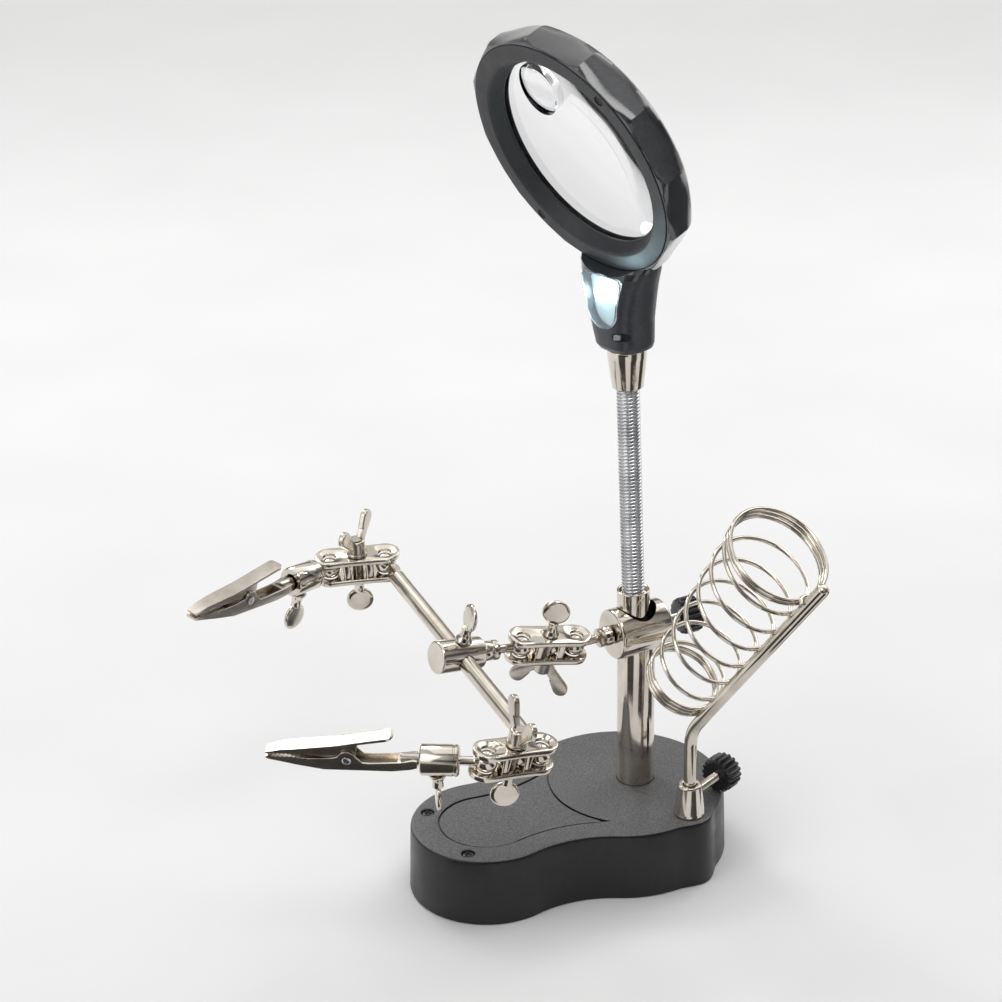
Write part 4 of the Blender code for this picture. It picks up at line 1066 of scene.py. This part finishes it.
def neck_sections():
    """(centre_x, depth, width, z) up the neck, drawn out smoothly between these stations."""
    stations = [
        (-0.2, 16.2, 18.2, 0),
        (-0.4, 18.6, 20.4, 0.7),
        (-0.8, 20.5, 22, 2.5),
        (-1.3, 21.6, 22.9, 7.5),
        (-1.8, 22.5, 24, 13),
        (-2.2, 22.9, 27.5, 20),
        (-2.4, 23, 31.5, 28),
        (-2.0, 21, 37.5, 36),
        (-1.0, 13, 41, 42),
    ]
    sections = []
    for first, second in zip(stations, stations[1:]):
        for step in range(3):
            t = step / 3
            sections.append([a + (b - a) * t for a, b in zip(first, second)])
    return [*sections, list(stations[-1])]


def neck_ring(centre_x, depth, width, z, count=72):
    points = []
    for i in range(count):
        angle = 2 * math.pi * i / count
        c, s = math.cos(angle), math.sin(angle)
        x = centre_x + depth / 2 * math.copysign(abs(c) ** 0.7, c)
        y = width / 2 * math.copysign(abs(s) ** 0.7, s)
        points.append((x, y, z))
    return points


ACROSS = Matrix(((0, 0, 1), (1, 0, 0), (0, 1, 0))).to_4x4()


def window_outline(inset):
    radius, bottom = WINDOW_RADIUS - inset, WINDOW_BOTTOM
    half, top = WINDOW_HALF_WIDTH - inset, WINDOW_TOP - inset
    lower = arc((0, bottom + WINDOW_RADIUS), radius, 180, 360, 33)
    return [*lower, (half, top - 1.5), (half - 1.5, top), (-half + 1.5, top), (-half, top - 1.5)]


def window_solid(inset, back, front, edge=0.2):
    return moved(slab(lambda more: window_outline(inset + more), back, front, edge), ACROSS)


def ring_rim():
    """The ring's outside, scalloped into facets. Each layer is a radius, a height and a share of the depth."""
    per_facet = 26
    count = RING_FACETS * per_facet

    def outline(radius, z, scallop):
        points = []
        for i in range(count):
            angle = 2 * math.pi * i / count
            off = ((i / per_facet) % 1.0 - 0.5) * 2
            dip = scallop * FACET_DEPTH * (1 - off**2)
            points.append(((radius - dip) * math.cos(angle), (radius - dip) * math.sin(angle), z))
        return points

    full, back = RING_RADIUS, RING_BACK
    layers = (
        (full - 7.0, back + 0.2, 0.0),
        (full - 5.0, back, 0.0),
        (full - 3.4, back + 0.5, 0.1),
        (full - 2.0, back + 1.6, 0.3),
        (full - 1.0, back + 3.0, 0.6),
        (full - 0.3, back + 4.6, 0.9),
        (full, -0.5, 1.0),
        (full, 3.5, 1.0),
        (full - 0.1, 5.6, 0.95),
        (full - 0.5, 6.9, 0.8),
        (full - 1.1, 7.7, 0.55),
        (full - 2.0, RING_FRONT, 0.25),
    )
    return loft([outline(*layer) for layer in layers])


def to_switch():
    return shifted(0, 0, SWITCH_Z) @ turned(180 + SWITCH_TURN)


def switch_outline(inset):
    length, radius = SWITCH_SLOT
    straight = length - radius
    return arc((straight, 0), radius - inset, -90, 90, 17) + arc((-straight, 0), radius - inset, 90, 270, 17)


def lens_cap(radius, thickness, sign, points=24):
    sphere = (radius**2 + thickness**2) / (2 * thickness)
    radii = [radius * i / (points - 1) for i in range(points)]
    face = [(r, sign * (LENS_EDGE / 2 + math.sqrt(sphere**2 - r**2) - (sphere - thickness))) for r in radii]
    return face if sign < 0 else face[::-1]


def make_head_shell(place, lens_place):
    to_lens = place.inverted() @ lens_place
    shell = loft([neck_ring(*section) for section in neck_sections()])
    slot = moved(moved(slab(switch_outline, SWITCH_DEPTH, 30, 0.05), ACROSS), to_switch())
    shell = cut(shell, window_solid(0.0, -30, -6, 0.05), slot)
    shell = fused(shell, moved(ring_rim(), to_lens))
    back, window = RING_BACK - 1, LENS_WINDOW - 0.1
    bores = [
        round_hole(-20, 20, LENS_WINDOW, LENS_SIDES),
        revolve([(0, back), (46.0, back), (window, -2.9), (0, -2.9)], LENS_SIDES),
        round_hole(-LENS_EDGE / 2 - 0.9, 20, LENS_RADIUS + GAP, LENS_SIDES),
        round_hole(1.9, 20, FRONT_RING_RADIUS + GAP, LENS_SIDES),
    ]
    shell = cut(shell, *(moved(hole, to_lens) for hole in bores))
    made = stands_for("head_rear_shell", shell, "gloss", "head", place, 24)
    to_ring = lens_place.inverted()
    second_finish(made, "neck", lambda centre, normal: math.hypot(*(to_ring @ centre).xy) > RING_RADIUS + 0.6)


def make_front_ring(lens_place):
    window, outer, front = LENS_WINDOW, FRONT_RING_RADIUS, RING_FRONT
    rim = [(window, 2.2), (outer, 2.2), (outer, front + 0.4), (outer - 0.5, front + 0.4)]
    rim += [(window + 3.6, front + 0.3), (window + 2.6, front - 0.4), (window + 0.5, 3.9), (window, 3.4)]
    well = [(0, front - 0.6), (2.0, front - 0.6), (2.2, front + 5), (0, front + 5)]
    spots = [turned(turn) @ shifted(HEAD_SCREW_RADIUS) for turn in (45, 225)]
    wells = [moved(revolve(well, 40), spot) for spot in spots]
    ring = cut(lathe(rim, 0.35, LENS_SIDES, closed=True), *wells)
    stands_for("head_front_ring", ring, "matte", "head", lens_place, 32)
    for index, spot in enumerate(spots, 1):
        screw_place = lens_place @ spot @ shifted(0, 0, front - 0.35)
        stands_for(f"head_screw_{index}", screw_head(1.75, 0.6, 1.2), "cover", "head", screw_place)


def make_lenses(lens_place):
    inset_spot = turned(INSET_TURN) @ shifted(INSET_DISTANCE)
    large = revolve(lens_cap(LENS_RADIUS, LENS_BULGE, -1) + lens_cap(LENS_RADIUS, LENS_BULGE, 1), LENS_SIDES)
    large = cut(large, moved(round_hole(-20, 20, INSET_RADIUS + 0.15, 96), inset_spot))
    stands_for("main_lens", large, "glass", "head", lens_place, 30)
    small = revolve(lens_cap(INSET_RADIUS, LENS_BULGE, -1) + lens_cap(INSET_RADIUS, LENS_BULGE, 1), 96)
    stands_for("inset_lens", small, "glass", "head", lens_place @ inset_spot, 30)


def make_head():
    place, lens_place = head_frame(), lens_frame()
    make_head_shell(place, lens_place)
    make_front_ring(lens_place)
    make_lenses(lens_place)

    stands_for("led_cover", window_solid(0.3, -13.0, -11.8), "clear", "head", place, 40)
    stands_for("led_board", window_solid(0.3, -7.6, -6.3), "reflector", "head", place, 40)
    lamp = [(0, 7.65), (2.9, 7.65), (2.9, 8.0), (2.45, 8.2), (2.45, 9.2), (2.1, 9.8), (1.3, 10.35), (0, 10.5)]
    for index, side in enumerate((1, -1), 1):
        spot = place @ shifted(0, side * LAMP_SIDE, LAMP_Z) @ turned(-90, "Y")
        placed(f"lamp_{index}", lathe(lamp, 0.15, 40), "lamp", "head", spot)

    slider = softened(rectangle(1.4, 1.1), 0.4, closed=True)
    ridge = moved(plate(slider, SWITCH_DEPTH + 0.3, SWITCH_DEPTH + 2.8), shifted(0, SWITCH_AT) @ ACROSS)
    # The slider's pale finish is a painted highlight, the glint on the dark switch.
    stands_for("switch_slider", ridge, "slider", "switch", place @ to_switch())


# Soldering iron rest


def rod_direction():
    yaw, pitch = math.radians(ROD_YAW), math.radians(ROD_PITCH)
    return Vector((math.cos(yaw) * math.cos(pitch), math.sin(yaw) * math.cos(pitch), math.sin(pitch)))


def rod_route():
    corner = Vector((0, 0, ROD_BEND_Z))
    slope = rod_direction()
    start, end = corner - Vector((0, 0, 6.5)), corner + slope * 6.5
    bend = [(1 - t) ** 2 * start + 2 * t * (1 - t) * corner + t**2 * end for t in (i / 20 for i in range(21))]
    return [Vector((0, 0, 36.3)), Vector((0, 0, 50)), *bend, corner + slope * (ROD_SLOPE_LENGTH - 1.6)]


def coil_route():
    """A cone of wire, close wound at both ends, whose ends hook a little way round the rod."""
    slope = rod_direction()
    above = (Vector((0, 0, 1)) - slope.z * slope).normalized()
    above.rotate(Matrix.Rotation(-math.radians(COIL_LEAN), 3, slope))
    side = slope.cross(above)
    turns = 2 * COIL_CLOSE_TURNS + COIL_OPEN_TURNS
    close_pitch = 2 * WIRE_RADIUS + 0.4
    close_length = COIL_CLOSE_TURNS * close_pitch
    open_length = COIL_END - COIL_START - 2 * close_length
    count = round(turns * 40)
    points = []
    for i in range(count + 1):
        turn = turns * i / count
        open_turn = min(max(turn - COIL_CLOSE_TURNS, 0), COIL_OPEN_TURNS)
        along = (turn - open_turn) * close_pitch + open_turn / COIL_OPEN_TURNS * open_length
        widening = (COIL_TOP_RADIUS - COIL_BOTTOM_RADIUS) * along / (COIL_END - COIL_START)
        radius = COIL_BOTTOM_RADIUS + widening
        centre = slope * (COIL_START + along) + above * (radius + ROD_RADIUS + WIRE_RADIUS + 0.15)
        angle = 2 * math.pi * turn
        points.append(centre + radius * (math.sin(angle) * side - math.cos(angle) * above))
    hook = ROD_RADIUS + WIRE_RADIUS + 0.2
    wraps = [math.radians(HOOK_SWEEP * i / 24) for i in range(1, 25)]
    start = [slope * (COIL_START - 0.3 * a) + hook * (math.cos(a) * above - math.sin(a) * side) for a in wraps]
    end = [slope * (COIL_END + 0.35 * a) + hook * (math.cos(a) * above + math.sin(a) * side) for a in wraps]
    return [Vector((0, 0, ROD_BEND_Z)) + point for point in [*start[::-1], *points, *end]]


def make_rest():
    boss = shifted(*REST_AT)
    foot, top = BASE_HEIGHT + GAP, REST_TOP
    flare = [(0, foot), (6.8, foot), (6.5, foot + 1.2), (5.0, top - 0.8), (4.6, top)]
    socket = lathe([*flare, (3.0, top), (3.0, 34), (0, 34)], 0.35, 72)
    sideways = shifted(0, 0, REST_KNOB_Z) @ turned(REST_KNOB_YAW) @ ALONG_X
    socket = cut(socket, moved(round_hole(1, 12, 2.2), sideways))
    stands_for("rest_socket", socket, "nickel", "base", boss, angle=42)
    knob_screw("rest_knob", ROD_RADIUS + GAP, REST_KNOB_START, "rest_knob", boss @ sideways)
    stands_for("rest_rod", tube(rod_route(), ROD_RADIUS, 32), "nickel", "rest_rod", boss, angle=50)
    stands_for("rest_coil", tube(coil_route(), WIRE_RADIUS, 14), "nickel", "rest_rod", boss, angle=60)


# Hidden CAD nodes keep their own meshes


def finish_cad(node, finish, bevel):
    obj = frame["nodes"][node]
    obj.data.materials.clear()
    obj.data.materials.append(FINISHES[finish])
    weld = obj.modifiers.new("join faces", "WELD")
    weld.merge_threshold = 0.00001
    edge = obj.modifiers.new("soft edges", "BEVEL")
    edge.width = bevel * MM
    edge.segments = 2
    edge.limit_method = "ANGLE"
    edge.angle_limit = math.radians(50)


# Stage


CARDS = ((0.13, 2.5, -78.0, 17.0), (0.13, 2.5, -150.0, 22.0), (0.15, 2.5, -20.0, 14.0))
AROUND_BANDS = (
    (0.0, 0.95),
    (0.10, 0.9),
    (0.17, 0.12),
    (0.22, 0.10),
    (0.27, 0.55),
    (0.36, 0.5),
    (0.42, 0.06),
    (0.46, 0.9),
    (0.62, 1.0),
    (0.8, 1.0),
    (1.0, 0.95),
)
HEIGHT_BANDS = ((0.0, 0.9), (0.16, 0.95), (0.24, 0.25), (0.42, 0.2), (0.52, 0.95), (0.8, 1.0), (0.9, 0.45))


def black_card(name, near, far, middle, half):
    """A part of a flat ring on the floor, hidden from the camera, that draws dark streaks on the plating."""
    count = 24
    turns = [math.radians(middle - half + 2 * half * i / count) for i in range(count + 1)]
    sweeps = ((near, turns), (far, turns[::-1]))
    rim = [(reach * math.cos(a), reach * math.sin(a), 0.0015) for reach, sweep in sweeps for a in sweep]
    data = bpy.data.meshes.new(name)
    data.from_pydata(rim, [], [tuple(range(len(rim)))])
    felt = Finish(name, 0.9)
    felt.colours(felt.noise(30.0, 2.0), (0.3, (0.02, 0.02, 0.02)), (0.7, (0.05, 0.05, 0.05)))
    data.materials.append(felt.material)
    made = in_scene(name, data)
    made.visible_camera = made.visible_diffuse = made.visible_shadow = made.visible_transmission = False


def make_floor():
    """Pale paper with a painted glow that grows with distance, so that it meets the backdrop without an edge.
    """
    reach = 14.0
    data = bpy.data.meshes.new("floor")
    data.from_pydata([(x, y, 0) for x, y in rectangle(reach, reach)], [], [(0, 1, 2, 3)])
    paper = Finish("paper", 0.75)
    paper.colours(paper.noise(6.0, 2.0), (0.3, (0.82, 0.82, 0.827)), (0.7, (0.86, 0.86, 0.867)))
    paper.set(Emission_Color=(1.0, 1.0, 1.0, 1.0))
    distance = paper.node("VectorMath")
    distance.operation = "LENGTH"
    # The emission is a painted glow on the paper, stronger with distance from the middle.
    painted_glow = paper.node("MapRange", From_Min=0.2, From_Max=2.4, To_Max=0.42)
    paper.link(paper.place, distance.inputs[0])
    paper.link(distance.outputs["Value"], painted_glow.inputs["Value"])
    paper.link(painted_glow.outputs["Result"], paper.shader.inputs["Emission Strength"])
    data.materials.append(paper.material)
    in_scene("floor", data)


def grey_ramp(tree, stops, tint=(1.0, 1.0, 1.0)):
    made = new_node(tree, "ValToRGB")
    fill_ramp(made.color_ramp, [(position, [value * part for part in tint]) for position, value in stops])
    return made


def colour_mix(tree, blend_type="MIX"):
    made = new_node(tree, "Mix")
    made.data_type = "RGBA"
    made.blend_type = blend_type
    return made


def make_world():
    """Bright and dark bands light the object and show in its plating, behind a plain pale backdrop."""
    world = bpy.data.worlds.new("studio")
    bpy.context.scene.world = world
    world.use_nodes = True
    tree = world.node_tree
    split = new_node(tree, "SeparateXYZ")
    turn = new_node(tree, "Math")
    turn.operation = "ARCTAN2"
    share = new_node(tree, "MapRange", From_Min=-math.pi, From_Max=math.pi)
    around = grey_ramp(tree, AROUND_BANDS, (1.0, 0.985, 0.965))
    heights = grey_ramp(tree, HEIGHT_BANDS)
    bands = colour_mix(tree, "MULTIPLY")
    bands.inputs["Factor"].default_value = 1.0
    rays = new_node(tree, "LightPath")
    straight = new_node(tree, "Math")
    straight.operation = "MAXIMUM"
    backdrop = colour_mix(tree)
    backdrop.inputs["B"].default_value = (1.05, 1.05, 1.06, 1.0)
    sky = tree.nodes["Background"]
    sky.inputs["Strength"].default_value = 0.8
    for start, end in (
        (new_node(tree, "TexCoord").outputs["Generated"], split.inputs["Vector"]),
        (split.outputs["Y"], turn.inputs[0]),
        (split.outputs["X"], turn.inputs[1]),
        (turn.outputs["Value"], share.inputs["Value"]),
        (share.outputs["Result"], around.inputs["Fac"]),
        (split.outputs["Z"], heights.inputs["Fac"]),
        (around.outputs["Color"], bands.inputs["A"]),
        (heights.outputs["Color"], bands.inputs["B"]),
        (rays.outputs["Is Camera Ray"], straight.inputs[0]),
        (rays.outputs["Is Transmission Ray"], straight.inputs[1]),
        (straight.outputs["Value"], backdrop.inputs["Factor"]),
        (bands.outputs["Result"], backdrop.inputs["A"]),
        (backdrop.outputs["Result"], sky.inputs["Color"]),
    ):
        tree.links.new(start, end)


def make_stage():
    bpy.context.scene.view_settings.view_transform = "Standard"
    make_floor()
    for index, card in enumerate(CARDS, 1):
        black_card(f"flag_{index}", *card)
    make_world()


def area_light(name, location, target, size, power):
    data = bpy.data.lights.new(name, "AREA")
    data.shape = "RECTANGLE"
    data.size, data.size_y = size
    data.energy = power
    made = in_scene(name, data)
    made.location = location
    made.rotation_euler = (Vector(target) - Vector(location)).to_track_quat("-Z", "Y").to_euler()


def make_lights():
    area_light("overhead", (0.1, 0.2, 1.3), (0, 0, 0.1), (1.4, 1.2), 4.4)
    area_light("left_box", (-1.2, -0.2, 0.8), (0, 0, 0.15), (0.8, 1.0), 3.2)
    area_light("back_box", (-0.15, 1.15, 1.15), (0, 0, 0.3), (0.6, 0.4), 5.2)
    area_light("front_box", (-0.1, -0.65, 1.3), (0, 0, 0.3), (0.6, 0.35), 3.4)
    area_light("right_box", (1.1, 0.3, 0.9), (0, 0, 0.2), (0.7, 1.0), 3.6)
    glow = bpy.data.lights.new("lamp_glow", "POINT")
    glow.energy = 0.012
    glow.color = (0.6, 0.9, 1.0)
    glow.shadow_soft_size = 0.004
    made = in_scene("lamp_glow", glow)
    made.location = head_frame() @ Vector((-17.5, 0, 27)) * MM
    made.parent = frame["bodies"]["head"]


def make_camera():
    back = Vector(CAMERA_BACK).normalized()
    right = Vector(CAMERA_RIGHT)
    right = (right - right.dot(back) * back).normalized()
    up = back.cross(right)
    roll = math.radians(CAMERA_ROLL)
    across = math.cos(roll) * right + math.sin(roll) * up
    above = -math.sin(roll) * right + math.cos(roll) * up
    data = bpy.data.cameras.new("camera")
    data.lens = CAMERA_LENS
    data.sensor_width = 36.0
    data.clip_start, data.clip_end = 0.05, 60.0
    made = in_scene("camera", data)
    turn = Matrix((across, above, back)).transposed().to_4x4()
    made.matrix_world = Matrix.Translation(CAMERA_AT) @ turn
    bpy.context.scene.camera = made


FINISHES = make_finishes()
make_camera()
make_stage()
make_lights()
make_base()
make_column()
make_arm()
make_gooseneck()
make_head()
make_rest()
finish_cad("base_weight", "iron", 0.8)
for cell in ("battery_1", "battery_2"):
    finish_cad(cell, "battery", 0.3)
for cover in ("bottom_cover", "battery_door"):
    finish_cad(cover, "cover", 0.4)

bpy.context.view_layer.update()
